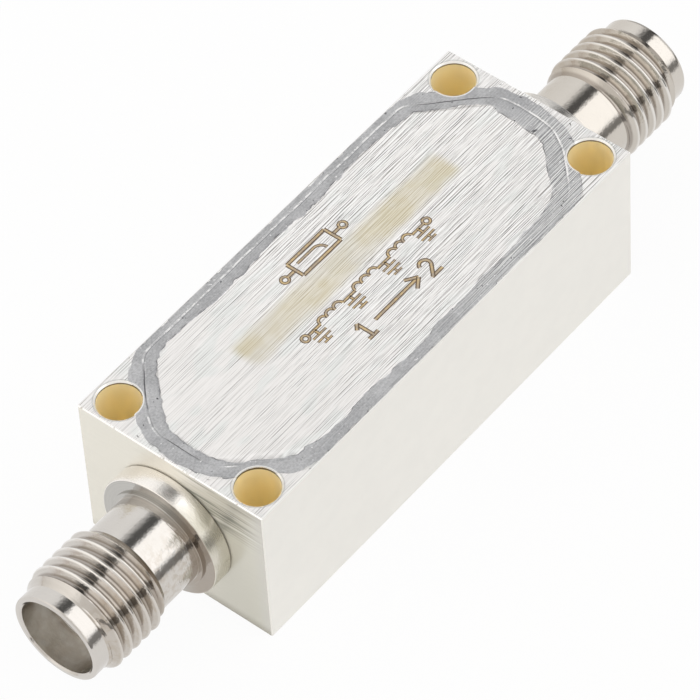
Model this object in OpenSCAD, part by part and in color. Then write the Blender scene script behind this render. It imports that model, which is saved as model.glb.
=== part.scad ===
// Coaxial low-pass filter: a milled block with a soldered-in cover and a threaded
// female coaxial port on each end. All sizes are in millimetres.
// X runs from port 1 to port 2, Z is up, and the origin is the middle of the base.

/* [Block] */
// Length of the block between its end faces
block_l = 30; // [28:0.5:48]
// Width of the block
block_w = 12; // [11.8:0.1:24]
// Height of the block
block_h = 9.7; // [9:0.1:16]
// Chamfer that breaks every outer edge of the block
edge_break = 0.08; // [0.02:0.01:0.15]

/* [Mounting holes] */
// Diameter of the four through holes, a clearance for M2 screws
hole_d = 2.4; // [1.6:0.1:2.6]
// Distance from an end face to the hole centres
hole_from_end = 1.5; // [1.4:0.1:2]
// Distance from a long side to the hole centres
hole_from_side = 1.5; // [1.4:0.1:1.6]
// Chamfer on both ends of each hole
hole_break = 0.1; // [0.02:0.01:0.12]

/* [Cover] */
// Thickness of the cover
cover_t = 1; // [0.6:0.1:1.6]
// Distance from a long side of the block to the cover's edge
cover_from_side = 0.55; // [0.5:0.05:1]
// Distance from an end face to the cover's edge
cover_from_end = 0.95; // [0.8:0.05:2]
// Metal left between a mounting hole and the cover's cut corner
corner_wall = 0.21; // [0.15:0.01:0.8]
// Gap round the cover in its pocket
cover_gap = 0.03; // [0.01:0.01:0.1]
// Depth of the cover's top face below the rim
cover_sink = 0.02; // [0.01:0.01:0.1]

/* [Solder channel] */
// Depth of the channel that the solder fills
seam_d = 0.3; // [0.15:0.05:0.5]
// Half width of the channel along the long sides
seam_side = 0.45; // [0.3:0.05:0.45]
// Half width of the channel along the ends
seam_end = 0.65; // [0.3:0.05:0.75]
// Half width of the channel across the cut corners
seam_corner = 0.7; // [0.3:0.05:0.8]
// Height of the solder above the block's top face
seam_proud = 0.02; // [0.01:0.01:0.1]

/* [Cavity] */
// Width of the ledge under the cover's long edges
ledge_side = 0.75; // [0.4:0.05:1.2]
// Width of the ledge under the cover's end edges
ledge_end = 1.65; // [1:0.05:2.2]
// Width of the ledge under the cover's cut corners
ledge_corner = 0.64; // [0.3:0.02:1]

/* [Ports] */
// Height of the ports' axis above the base
port_z = 4.85; // [4.2:0.05:5.2]
// Distance from an end face to the port's tip
port_l = 9.15; // [8.6:0.05:12]
// Diameter of the round flange
flange_d = 7.36; // [6.6:0.02:8]
// Thickness of the flange
flange_t = 1.25; // [0.8:0.05:2]
// Chamfer on the flange's two edges
flange_chamfer = 0.08; // [0.02:0.01:0.2]
// Diameter of the small step in front of the flange
step_d = 5.92; // [5.6:0.02:6.2]
// Length of the small step
step_l = 0.16; // [0.05:0.01:0.5]
// Diameter of the plain barrel
barrel_d = 5.4; // [5.2:0.05:5.6]
// Outside diameter of the thread, for 1/4-36 UNS
thread_d = 6.24; // [6.2:0.01:6.35]
// Distance from the end face to the start of the thread's run-out
thread_from = 4; // [2:0.05:4.5]
// Distance from the end face to the end of the thread's lead-in
thread_to = 8.25; // [8:0.05:8.5]
// Length of the cone at each end of the thread
thread_cone = 0.55; // [0.3:0.05:0.8]
// Diameter of the plain nose
nose_d = 5.36; // [5.2:0.02:5.5]
// Chamfer on the nose's outer lip
lip_chamfer = 0.1; // [0.03:0.01:0.2]
// Diameter of the counterbore that takes the mating plug
socket_d = 4.6; // [4.5:0.01:4.7]
// Depth of the counterbore from the tip to the reference plane
socket_depth = 1.9; // [1.8:0.02:1.98]
// Diameter of the spigot that is pressed into the end wall
spigot_d = 5; // [4.6:0.1:5]

/* [Line inside a port] */
// Diameter of the insulator's front part
dielectric_d = 4.1; // [3.9:0.05:4.2]
// Diameter of the insulator's narrow rear part
dielectric_rear_d = 3; // [2.4:0.1:3.4]
// Distance from the end face to the insulator's step
dielectric_step = 0.6; // [0.2:0.1:2]
// Outside diameter of the contact's socket
contact_d = 1.27; // [1.2:0.01:1.3]
// Bore of the contact's socket
contact_bore = 0.94; // [0.9:0.01:0.98]
// Depth of the contact's bore
contact_bore_l = 2.6; // [2:0.1:4]
// Width of the slits between the socket's fingers
slit_w = 0.16; // [0.08:0.02:0.3]
// Length of the slits
slit_l = 2.2; // [1:0.1:2.4]
// Distance from the reference plane back to the contact's front
contact_sink = 0.05; // [0:0.01:0.2]
// Diameter of the contact's rear pin
pin_d = 0.9; // [0.5:0.05:1]
// Length of the rear pin inside the cavity
pin_l = 3; // [2.6:0.1:3.6]

/* [Circuit board] */
// Thickness of the board
board_t = 0.8; // [0.5:0.1:1.2]
// Gap between the board and the cavity's long walls
board_side_gap = 0.4; // [0.2:0.05:1]
// Gap between the board and the cavity's end walls
board_end_gap = 2; // [1.8:0.05:2.2]
// Thickness of the copper
copper_t = 0.05; // [0.02:0.01:0.1]
// Distance from the copper's end to the board's end
copper_margin = 0.2; // [0.1:0.05:0.5]
// Distance from the board's end to the nearest junction
junction_from_end = 2.4; // [2.2:0.1:3]
// Half length of a junction's land
land_half_l = 0.85; // [0.8:0.05:0.95]
// Half width of the stubs that carry the capacitors
stub_half = 0.45; // [0.42:0.01:0.5]

/* [Coils] */
// Mean diameter of a coil
coil_d = 1.9; // [1.4:0.1:2.4]
// Diameter of the coil's wire
wire_d = 0.4; // [0.2:0.05:0.45]
// Distance from a junction to the coil's leg
leg_offset = 0.55; // [0.5:0.05:0.6]
// Gap between a coil and the copper under it
coil_lift = 0.25; // [0.1:0.05:0.6]
// Full turns in a coil, which ends with half a turn more
coil_turns = 4; // [3:1:5]

/* [Capacitors and fixings] */
// Length of a chip capacitor
chip_l = 1.6; // [1:0.1:1.8]
// Width and height of a chip capacitor
chip_w = 0.8; // [0.5:0.05:0.84]
// Length of each metal end of a chip
chip_end = 0.32; // [0.2:0.02:0.4]
// Height of a metal end above the chip's middle
chip_step = 0.03; // [0.01:0.01:0.05]
// Gap between a chip and the solder at a coil's leg
chip_gap = 0.1; // [0.05:0.05:0.3]
// Radius of the solder at a coil's leg
joint_r = 0.3; // [0.25:0.01:0.3]
// Height of the solder at a coil's leg
joint_h = 0.3; // [0.1:0.05:0.4]
// Solder left round the wire at the top of a leg's solder
joint_lip = 0.02; // [0.01:0.01:0.05]
// Half width of the solder over a port's pin
pin_joint_half = 0.75; // [0.7:0.05:0.8]
// Solder over the top and past the tip of a port's pin
pin_joint_over = 0.2; // [0.1:0.05:0.3]
// Thread diameter of the board screws
screw_d = 1.6; // [1.4:0.1:1.6]
// Head diameter of the board screws
screw_head_d = 3; // [2.6:0.1:3]
// Head height of the board screws
screw_head_h = 1.1; // [0.8:0.1:1.2]
// Length of a screw in the block's floor
screw_grip = 2; // [1.2:0.1:2.4]
// Distance from the board's long edge to the screws
screw_from_edge = 1.6; // [1.5:0.05:1.7]
// Clearance round a screw in the board
screw_clear = 0.1; // [0.05:0.05:0.3]
// Width of the screwdriver slot
slot_w = 0.4; // [0.3:0.05:0.5]
// Depth of the screwdriver slot
slot_depth = 0.5; // [0.3:0.05:0.6]

/* [Hidden] */
$fn = 64;
over = 1;
coil_count = 4;
coil_sides = 8;
coil_steps = 16;
silver = [0.86, 0.86, 0.84];
solder_grey = [0.62, 0.63, 0.65];
steel = [0.72, 0.70, 0.67];
white = [0.93, 0.92, 0.90];
gold = [0.80, 0.63, 0.28];
board_green = [0.16, 0.36, 0.22];
copper_gold = [0.84, 0.64, 0.30];
enamel = [0.62, 0.30, 0.14];
chip_tan = [0.66, 0.55, 0.42];

hole_x = block_l / 2 - hole_from_end;
hole_y = block_w / 2 - hole_from_side;
cover_half_l = block_l / 2 - cover_from_end;
cover_half_w = block_w / 2 - cover_from_side;
// A cut corner is the line x + y = corner, and this one clears the mounting hole
cover_corner = hole_x + hole_y - (hole_d / 2 + corner_wall) * sqrt(2);
cover_seat = block_h - cover_t - cover_sink;
seam_floor = block_h - seam_d;
cavity_half_l = cover_half_l - ledge_end;
cavity_half_w = cover_half_w - ledge_side;
cavity_corner = cover_corner - ledge_corner * sqrt(2);
copper_top = port_z - pin_d / 2;
board_top = copper_top - copper_t;
cavity_floor = board_top - board_t;
board_half_l = cavity_half_l - board_end_gap;
board_half_w = cavity_half_w - board_side_gap;
junction_pitch = 2 * (board_half_l - junction_from_end) / coil_count;
coil_z = copper_top + coil_lift + wire_d / 2 + coil_d / 2;
coil_l = junction_pitch - 2 * leg_offset;
// The half turn brings a coil's two legs down on opposite sides
wound_turns = coil_turns + 0.5;
chip_y = coil_d / 2 + joint_r + chip_gap + chip_l / 2;
// The screws stand beside the middle of the first and the last coil
screw_x = (coil_count - 1) / 2 * junction_pitch;
screw_y = board_half_w - screw_from_edge;
spigot_l = block_l / 2 - cavity_half_l;
reference_plane = port_l - socket_depth;
port_sides = [-1, 1];

// Outline of a rectangle with its corners cut along the lines |x| + |y| = corner
function cut_rectangle(half_l, half_w, corner) = [
    [half_l, half_l - corner], [half_l, corner - half_l],
    [corner - half_w, half_w], [half_w - corner, half_w],
    [-half_l, corner - half_l], [-half_l, half_l - corner],
    [half_w - corner, -half_w], [corner - half_w, -half_w]];

// Outline of a rectangle with an equal chamfer on each corner
function chamfered(half_l, half_w, chamfer) =
    cut_rectangle(half_l, half_w, half_l + half_w - chamfer);

function junction_x(index) = (index - coil_count / 2) * junction_pitch;

// Capacitors stand on alternate sides of the line
function chip_side(index) = index % 2 == 0 ? 1 : -1;

module cover_outline(grow = 0) {
    polygon(cut_rectangle(cover_half_l + grow, cover_half_w + grow, cover_corner + grow * sqrt(2)));
}

module seam_outline(side) {
    polygon(cut_rectangle(cover_half_l + side * seam_end, cover_half_w + side * seam_side,
        cover_corner + side * seam_corner * sqrt(2)));
}

module mounting_holes() {
    wide = hole_d / 2 + hole_break + over;
    deep = hole_break + over;
    for (x = [-hole_x, hole_x], y = [-hole_y, hole_y]) translate([x, y, 0]) {
        translate([0, 0, -over]) cylinder(d = hole_d, h = block_h + 2 * over);
        translate([0, 0, -over]) cylinder(r1 = wide, r2 = hole_d / 2, h = deep);
        translate([0, 0, block_h - hole_break]) cylinder(r1 = hole_d / 2, r2 = wide, h = deep);
    }
}

// Turns a shape that stands on the XY plane so that it points out of an end face
module at_port(side) {
    translate([side * block_l / 2, 0, port_z]) rotate([0, side * 90, 0]) children();
}

module broken_block() {
    intersection() {
        linear_extrude(block_h) polygon(chamfered(block_l / 2, block_w / 2, edge_break));
        translate([0, 0, block_h / 2]) rotate([90, 0, 0])
            linear_extrude(block_w, center = true) polygon(chamfered(block_l / 2, block_h / 2, edge_break));
        translate([0, 0, block_h / 2]) rotate([90, 0, 90])
            linear_extrude(block_l, center = true) polygon(chamfered(block_w / 2, block_h / 2, edge_break));
    }
}

module housing() {
    color(silver) difference() {
        broken_block();
        translate([0, 0, seam_floor]) linear_extrude(block_h) seam_outline(1);
        translate([0, 0, cover_seat]) linear_extrude(block_h) cover_outline();
        translate([0, 0, cavity_floor]) linear_extrude(block_h)
            polygon(cut_rectangle(cavity_half_l, cavity_half_w, cavity_corner));
        mounting_holes();
        for (side = port_sides) at_port(side) translate([0, 0, -spigot_l - over])
            cylinder(d = spigot_d, h = spigot_l + 2 * over);
        for (x = [-screw_x, screw_x], y = [-screw_y, screw_y])
            translate([x, y, cavity_floor - screw_grip]) cylinder(d = screw_d, h = screw_grip + over);
    }
}

module cover() {
    color(silver) {
        translate([0, 0, cover_seat]) linear_extrude(seam_floor - cover_seat) cover_outline(-cover_gap);
        translate([0, 0, seam_floor]) linear_extrude(seam_d - cover_sink) seam_outline(-1);
    }
}

module solder_seam() {
    color(solder_grey) difference() {
        translate([0, 0, seam_floor]) linear_extrude(seam_d + seam_proud) difference() {
            seam_outline(1);
            seam_outline(-1);
        }
        mounting_holes();
    }
}

module port_shell(side) {
    socket_r = socket_d / 2;
    full_r = thread_d / 2;
    color(steel) at_port(side) rotate_extrude() polygon([
        [dielectric_rear_d / 2, -spigot_l], [spigot_d / 2, -spigot_l], [spigot_d / 2, 0],
        [flange_d / 2 - flange_chamfer, 0], [flange_d / 2, flange_chamfer],
        [flange_d / 2, flange_t - flange_chamfer], [flange_d / 2 - flange_chamfer, flange_t],
        [step_d / 2, flange_t], [step_d / 2, flange_t + step_l], [barrel_d / 2, flange_t + step_l],
        [barrel_d / 2, thread_from], [full_r, thread_from + thread_cone],
        [full_r, thread_to - thread_cone], [nose_d / 2, thread_to],
        [nose_d / 2, port_l - lip_chamfer], [nose_d / 2 - lip_chamfer, port_l], [socket_r, port_l],
        [socket_r, reference_plane], [dielectric_d / 2, reference_plane],
        [dielectric_d / 2, dielectric_step], [dielectric_rear_d / 2, dielectric_step]]);
}

module port_insulator(side) {
    color(white) at_port(side) rotate_extrude() polygon([
        [pin_d / 2, -spigot_l], [dielectric_rear_d / 2, -spigot_l],
        [dielectric_rear_d / 2, dielectric_step], [dielectric_d / 2, dielectric_step],
        [dielectric_d / 2, reference_plane], [contact_d / 2, reference_plane],
        [contact_d / 2, dielectric_step], [pin_d / 2, dielectric_step]]);
}

module port_contact(side) {
    front = reference_plane - contact_sink;
    color(gold) at_port(side) difference() {
        rotate_extrude() polygon([
            [0, -spigot_l - pin_l], [pin_d / 2, -spigot_l - pin_l], [pin_d / 2, dielectric_step],
            [contact_d / 2, dielectric_step], [contact_d / 2, front], [contact_bore / 2, front],
            [contact_bore / 2, front - contact_bore_l], [0, front - contact_bore_l]]);
        for (turn = [0, 90]) rotate([0, 0, turn])
            translate([-contact_d, -slit_w / 2, front - slit_l])
                cube([2 * contact_d, slit_w, slit_l + over]);
    }
}

module pin_joint(side) {
    tip_x = cavity_half_l - pin_l;
    near_x = tip_x - pin_joint_over;
    far_x = board_half_l - copper_margin;
    top_half = pin_joint_half - pin_d / 2 + pin_joint_over / 2;
    color(solder_grey) mirror([side < 0 ? 1 : 0, 0, 0]) difference() {
        translate([near_x, 0, copper_top]) rotate([90, 0, 90]) linear_extrude(far_x - near_x)
            polygon([[-pin_joint_half, 0], [pin_joint_half, 0],
                [top_half, pin_d + pin_joint_over], [-top_half, pin_d + pin_joint_over]]);
        translate([tip_x, 0, port_z]) rotate([0, 90, 0]) cylinder(d = pin_d, h = pin_l);
    }
}

module circuit_board() {
    color(board_green) difference() {
        translate([-board_half_l, -board_half_w, cavity_floor])
            cube([2 * board_half_l, 2 * board_half_w, board_t]);
        for (x = [-screw_x, screw_x], y = [-screw_y, screw_y])
            translate([x, y, cavity_floor - over])
                cylinder(d = screw_d + 2 * screw_clear, h = board_t + 2 * over);
    }
}

// The land under one junction, with its stub towards the capacitor
module signal_land(index) {
    reach = coil_d / 2 + joint_r;
    x = junction_x(index);
    translate([x - land_half_l, -reach]) square([2 * land_half_l, 2 * reach]);
    stub_l = chip_y - chip_l / 2 + chip_end;
    translate([x - stub_half, chip_side(index) > 0 ? 0 : -stub_l]) square([2 * stub_half, stub_l]);
    if (index == 0 || index == coil_count) {
        out = board_half_l - copper_margin;
        translate([index == 0 ? -out : x, -land_half_l]) square([out - abs(x), 2 * land_half_l]);
    }
}

// The land at a capacitor's outer end, which is joined to the block
module ground_land(index) {
    inner = chip_y + chip_l / 2 - chip_end;
    outer = board_half_w - copper_margin;
    x = junction_x(index);
    translate([x - stub_half, chip_side(index) > 0 ? inner : -outer])
        square([2 * stub_half, outer - inner]);
}

module copper_lands() {
    color(copper_gold) translate([0, 0, board_top]) linear_extrude(copper_t)
        for (index = [0 : coil_count]) {
            signal_land(index);
            ground_land(index);
        }
}

module board_screws() {
    color(steel) for (x = [-screw_x, screw_x], y = [-screw_y, screw_y])
        translate([x, y, 0]) difference() {
            union() {
                translate([0, 0, board_top]) cylinder(d = screw_head_d, h = screw_head_h);
                translate([0, 0, cavity_floor - screw_grip])
                    cylinder(d = screw_d, h = screw_grip + board_t + screw_head_h / 2);
            }
            translate([-screw_head_d, -slot_w / 2, board_top + screw_head_h - slot_depth])
                cube([2 * screw_head_d, slot_w, slot_depth + over]);
        }
}

// Solder cones round the coils' legs, which stand at +y and -y in turn
module coil_joints() {
    color(solder_grey) for (index = [0 : coil_count - 1], last = [0, 1]) {
        x = junction_x(index) + (last == 0 ? leg_offset : junction_pitch - leg_offset);
        y = (last == 0 ? 1 : -1) * coil_d / 2;
        translate([x, y, copper_top]) difference() {
            cylinder(r1 = joint_r, r2 = wire_d / 2 + joint_lip, h = joint_h);
            translate([0, 0, -over]) cylinder(d = wire_d, h = joint_h + 2 * over);
        }
    }
}

// Centre line of a coil at a turn angle, and its unit vector away from the coil's axis
function coil_at(angle) = [
    coil_l * angle / (360 * wound_turns), coil_d / 2 * cos(angle), coil_z + coil_d / 2 * sin(angle)];
function coil_out(angle) = [0, cos(angle), sin(angle)];
function coil_along(angle) = [
    coil_l / (2 * PI * wound_turns), -coil_d / 2 * sin(angle), coil_d / 2 * cos(angle)];
function unit(v) = v / norm(v);

// One ring of the wire's skin round a point
function wire_ring(centre, out, along) =
    let (side = unit(cross(along, out)))
    [for (k = [0 : coil_sides - 1])
        let (turn = 360 * k / coil_sides)
        centre + wire_d / 2 * (cos(turn) * out + sin(turn) * side)];

module coil(index) {
    last = 360 * wound_turns;
    steps = coil_steps * wound_turns;
    start = [0, coil_d / 2, copper_top];
    stop = [coil_l, -coil_d / 2, copper_top];
    rings = concat(
        [wire_ring(start, [0, 1, 0], [0, 0, 1])],
        [for (k = [0 : steps])
            let (angle = last * k / steps)
            wire_ring(coil_at(angle), coil_out(angle), coil_along(angle))],
        [wire_ring(stop, [0, -1, 0], [0, 0, -1])]);
    count = len(rings);
    skin = [for (i = [0 : count - 2], k = [0 : coil_sides - 1], half = [0, 1])
        let (a = i * coil_sides + k, b = i * coil_sides + (k + 1) % coil_sides)
        half == 0 ? [a, b, b + coil_sides] : [a, b + coil_sides, a + coil_sides]];
    caps = [[for (k = [coil_sides - 1 : -1 : 0]) k],
        [for (k = [0 : coil_sides - 1]) (count - 1) * coil_sides + k]];
    color(enamel) translate([junction_x(index) + leg_offset, 0, 0])
        polyhedron(points = [for (ring = rings) each ring], faces = concat(skin, caps), convexity = 10);
}

module capacitor(index) {
    color(chip_tan) translate([junction_x(index), chip_side(index) * chip_y, copper_top]) {
        translate([-chip_w / 2 + chip_step, -chip_l / 2, chip_step])
            cube([chip_w - 2 * chip_step, chip_l, chip_w - 2 * chip_step]);
        for (y = [-chip_l / 2, chip_l / 2 - chip_end])
            translate([-chip_w / 2, y, 0]) cube([chip_w, chip_end, chip_w]);
    }
}

housing();
cover();
solder_seam();
port_shell(-1);  // port_1_shell
port_insulator(-1);  // port_1_insulator
port_contact(-1);  // port_1_contact
pin_joint(-1);  // pin_joint_1
port_shell(1);  // port_2_shell
port_insulator(1);  // port_2_insulator
port_contact(1);  // port_2_contact
pin_joint(1);  // pin_joint_2
circuit_board();
copper_lands();
board_screws();
coil_joints();
coil(0);  // coil_1
coil(1);  // coil_2
coil(2);  // coil_3
coil(3);  // coil_4
capacitor(0);  // capacitor_1
capacitor(1);  // capacitor_2
capacitor(2);  // capacitor_3
capacitor(3);  // capacitor_4
capacitor(4);  // capacitor_5
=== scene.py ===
# %% [markdown]
# A coaxial low-pass filter, piece by piece
#
# The real object is a silver-plated milled block, 30 mm long, with a cover soldered into
# its top and a threaded coaxial port on each end. The packed CAD model gives every size,
# and this lesson gives each piece the surface that the eye sees. Flat milled pieces are
# already right in the CAD and only need a finish. The threads and the solder are shaped
# again here, because their real form is finer than a model made for measuring.

# %% Load the packed model
import math

import bmesh
import bpy
from mathutils import Matrix, Quaternion, Vector, noise


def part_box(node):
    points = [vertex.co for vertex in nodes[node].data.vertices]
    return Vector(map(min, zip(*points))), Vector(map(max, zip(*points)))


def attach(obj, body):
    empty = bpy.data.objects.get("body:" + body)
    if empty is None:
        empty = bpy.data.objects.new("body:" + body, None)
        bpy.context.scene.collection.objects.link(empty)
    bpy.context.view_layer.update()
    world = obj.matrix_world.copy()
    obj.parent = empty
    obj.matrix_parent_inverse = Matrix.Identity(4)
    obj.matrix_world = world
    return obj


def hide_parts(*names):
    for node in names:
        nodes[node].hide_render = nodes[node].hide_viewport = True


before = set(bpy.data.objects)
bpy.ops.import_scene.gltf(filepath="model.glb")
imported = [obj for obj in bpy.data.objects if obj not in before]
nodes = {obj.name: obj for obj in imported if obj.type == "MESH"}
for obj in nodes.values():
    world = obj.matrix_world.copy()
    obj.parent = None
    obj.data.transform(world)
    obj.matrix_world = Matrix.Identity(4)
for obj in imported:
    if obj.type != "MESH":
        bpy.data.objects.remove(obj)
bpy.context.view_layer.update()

MM = 0.001
print("CAD nodes:", len(nodes))

# %% [markdown]
# The camera
#
# A small object photographed from close by could be taken with a wide lens or a long one.
# The block's far end looks hardly smaller than its near end, so a long lens from 27 cm
# away is the match. The camera aims at the middle of the ports' axis, and the last angle
# is the slight roll of the hand-held product shot.

# %% Place the camera
scene = bpy.context.scene
scene.view_settings.view_transform = "Standard"
CAMERA_PLACE = Vector((-130.65, -116.63, 216.68)) * MM
CAMERA_AIM = Vector((-1.054, -0.021, 4.85)) * MM
CAMERA_ROLL = math.radians(-3.915)
SENSOR_WIDTH = 36
LENS = 274.56
# The nearest and the furthest thing that the camera shows, in metres
VIEW_FROM = 0.01
VIEW_TO = 20

camera_data = bpy.data.cameras.new("camera")
camera_data.sensor_width = SENSOR_WIDTH
camera_data.lens = LENS
camera_data.clip_start = VIEW_FROM
camera_data.clip_end = VIEW_TO
camera = bpy.data.objects.new("camera", camera_data)
scene.collection.objects.link(camera)
scene.camera = camera
aimed = (CAMERA_AIM - CAMERA_PLACE).to_track_quat("-Z", "Y")
camera.rotation_mode = "QUATERNION"
camera.rotation_quaternion = aimed @ Quaternion((0, 0, 1), CAMERA_ROLL)
camera.location = CAMERA_PLACE
print("camera distance in mm:", round((CAMERA_AIM - CAMERA_PLACE).length / MM, 1))

# %% [markdown]
# Shader maths in Python
#
# A procedural finish is arithmetic on a point's place. Wiring Math nodes by hand hides
# that arithmetic, so this class wraps one output socket and lets ordinary operators add
# the nodes. Every other kind of node comes from its one method, `node`.

# %% A socket that understands arithmetic
# The Mix node's sockets for colours, counted from 0
MIX_AMOUNT, MIX_LOW, MIX_HIGH, MIX_RESULT = 0, 6, 7, 2


def operator(operation):
    """What Python calls when it meets an operator: it adds one Math node."""
    return lambda self, *others: self.math(operation, self, *others)


class Wire:
    """One output socket in a node tree, with operators that add Math nodes."""

    __add__ = __radd__ = operator("ADD")
    __mul__ = __rmul__ = operator("MULTIPLY")
    __sub__ = operator("SUBTRACT")
    __truediv__ = operator("DIVIDE")
    __gt__ = operator("GREATER_THAN")
    __lt__ = operator("LESS_THAN")
    __abs__ = operator("ABSOLUTE")

    def __init__(self, tree, socket=None):
        self.tree = tree
        self.socket = socket

    def node(self, kind, settings=(), sockets=(), out=0):
        """Adds a node: its settings first, then its sockets' values or links."""
        new = self.tree.nodes.new("ShaderNode" + kind)
        for name, value in dict(settings).items():
            if name == "stops":
                set_stops(new.color_ramp, value)
            else:
                setattr(new, name, value)
        for name, value in dict(sockets).items():
            if isinstance(value, Wire):
                self.tree.links.new(value.socket, new.inputs[name])
            else:
                new.inputs[name].default_value = value
        return Wire(self.tree, new.outputs[out])

    def math(self, operation, *values):
        return self.node("Math", {"operation": operation}, dict(enumerate(values)))

    def __rsub__(self, other):
        return self.math("SUBTRACT", other, self)

    def capped(self):
        """This value, but never above 1."""
        return self.math("MINIMUM", self, 1.0)

    def ramp(self, low, high, to_low=0.0, to_high=1.0):
        """A smooth rise from to_low to to_high as this value goes from low to high."""
        sockets = {"Value": self, "From Min": low, "From Max": high,
                   "To Min": to_low, "To Max": to_high}
        return self.node("MapRange", {"interpolation_type": "SMOOTHSTEP"}, sockets)

    def parts(self):
        """The three parts of a vector."""
        return [self.node("SeparateXYZ", (), {0: self}, out=k) for k in range(3)]

    def stretched(self, x, y, z):
        """This vector with each part multiplied by its own number."""
        return self.node("VectorMath", {"operation": "MULTIPLY"}, {0: self, 1: (x, y, z)})

    def noise(self, scale, detail=2.0, roughness=0.5):
        """Blender's noise at this place, from about 0.25 to 0.75."""
        sockets = {"Vector": self, "Scale": scale, "Detail": detail, "Roughness": roughness}
        return self.node("TexNoise", (), sockets)

    def mix(self, low, high):
        """The colour low where this value is 0, and high where it is 1."""
        sockets = {MIX_AMOUNT: self, MIX_LOW: colour(low), MIX_HIGH: colour(high)}
        return self.node("Mix", {"data_type": "RGBA"}, sockets, out=MIX_RESULT)


def colour(value):
    """A colour's three numbers with an alpha, or a wire as it is."""
    return value if isinstance(value, Wire) else (*value, 1.0)


def set_stops(ramp, stops):
    """Fills a colour ramp from (position, grey) pairs."""
    while len(ramp.elements) < len(stops):
        ramp.elements.new(0.5)
    for element, (place, grey) in zip(ramp.elements, stops):
        element.position = place
        element.color = (grey, grey, grey, 1)


print("a wire's methods:", [name for name in vars(Wire) if not name.startswith("_")])

# %% [markdown]
# What a finish is made of
#
# A real finish builds up in coats: metal, then plating, then stains and scratches. So
# each material here is one principled shader, and its colour is a list of coats, each
# with how much of it shows at a point. Nodes could be laid out in the editor, but a list
# can be read from top to bottom, as a plater's work sheet can.

# %% One shader, the place it reads, and its coats
OBJECT_PLACE = 3


def new_finish(name, constants):
    """Makes a material, and returns it with its shader and its place in millimetres."""
    material = bpy.data.materials.new(name)
    material.use_nodes = True
    tree = material.node_tree
    shader = tree.nodes["Principled BSDF"]
    for socket, value in constants.items():
        shader.inputs[socket].default_value = value
    place = Wire(tree).node("TexCoord", out=OBJECT_PLACE).stretched(1 / MM, 1 / MM, 1 / MM)
    return material, shader, place


def feed(shader, socket, wire):
    shader.id_data.links.new(wire.socket, shader.inputs[socket])


def bump(shader, height, distance):
    """Feeds the shader's normal from a height that goes from 0 to 1."""
    wire = height.node("Bump", (), {"Height": height, "Distance": distance, "Strength": 1.0})
    feed(shader, "Normal", wire)


def coats(under, *layers):
    """Lays coats over a colour in turn, from pairs of how much shows and its colour."""
    for amount, over in layers:
        under = amount.mix(under, over)
    return under


def levels(base, *masked):
    """A number that is base, but takes another value where that value's mask is 1."""
    return sum((mask * (value - base) for mask, value in masked), start=base)


print("a step of 1 in a place is", MM, "m")

# %% [markdown]
# The studio
#
# Polished metal shows the room, so the room is the first finish. Round the ports runs a
# pattern that repeats on every turned surface: a grey wall, a black gap overhead, a wide
# white panel and a black strip low down. That is one long softbox beside the object and a
# dark boom above it. The world could be a plain white dome, but then the steel would look
# like plaster. The brightness depends on the angle round the object's long axis, so one
# arc tangent and two ramps describe the room: one for what lies ahead of the camera and a
# paler, warmer one for what lies behind it. Far ahead the room grows dim, which keeps the
# top from burning out when it is seen from the other end.

# %% Build the room
ROOM_PEAK = 1.75
# Angle round the long axis in degrees, from the far side over the top, and brightness
ROOM_AHEAD = [
    (0, 0.95), (48, 1.0), (60, 0.95), (66, 0.62), (72, 0.32), (78, 0.11), (92, 0.11),
    (96, 0.75), (100, 1.50), (158, 1.52), (165, 1.25), (170, 0.42), (180, 0.35)]
ROOM_BEHIND = [
    (0, 0.85), (25, 1.05), (70, 1.2), (95, 0.8), (150, 0.8), (165, 0.9), (180, 0.9)]
BEHIND_TINT = (1.0, 0.97, 0.93)
# A direction's part along the axis where the room ahead gives way to the room behind
AHEAD_TO_BEHIND = (0.20, -0.15)
# The same where the room starts and ends to grow dim, and its light before and after
ROOM_FADE = (0.60, 0.70)
ROOM_LIGHT = (1.79, 0.97)
# The Light Path node's outputs, counted from 0
CAMERA_RAY, GLOSSY_RAY, TRANSMISSION_RAY = 0, 3, 6


def room_ramp(angle, room):
    """The brightness of one half of the room at an angle."""
    stops = [(turn / 180, value / ROOM_PEAK) for turn, value in room]
    return angle.node("ValToRGB", {"stops": stops}, {0: angle})


def build_room():
    world = bpy.data.worlds.new("studio")
    scene.world = world
    world.use_nodes = True
    tree = world.node_tree
    wire = Wire(tree)
    x, y, z = wire.node("TexCoord").parts()
    angle = z.math("ARCTAN2", z, y) / math.pi
    behind = room_ramp(angle, ROOM_BEHIND).stretched(*BEHIND_TINT)
    seen = x.ramp(*AHEAD_TO_BEHIND).mix(room_ramp(angle, ROOM_AHEAD), behind)
    strength = x.ramp(*ROOM_FADE, *ROOM_LIGHT)
    light = wire.node("Background", (), {"Color": seen, "Strength": strength})
    white = wire.node("Background", (), {"Color": (1, 1, 1, 1), "Strength": 1.0})
    is_camera = wire.node("LightPath", out=CAMERA_RAY)
    both = wire.node("MixShader", (), {0: is_camera, 1: light, 2: white})
    tree.links.new(both.socket, tree.nodes["World Output"].inputs["Surface"])


build_room()
print("room stops:", len(ROOM_AHEAD) + len(ROOM_BEHIND))

# %% [markdown]
# The floor and the flag
#
# The product shot has a pure white ground. More light would burn the object out, so the
# floor adds its own white where the camera or a reflection looks at it, and takes the
# rest from the room, which keeps the object's shadow. The low black strip in the steel is
# a flag: a dark card that stands on the floor beside the object, out of the camera's view.

# %% The floor's white
FLOOR_CARD = (0.96, 0.96, 0.96, 1)
FLOOR_OWN_WHITE = 0.94
FLOOR_REFLECTED_WHITE = 0.74
FLOOR_WHITE = (1, 1, 1)
FLOOR_FAR_TONE = (0.66, 0.58, 0.52)
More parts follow.
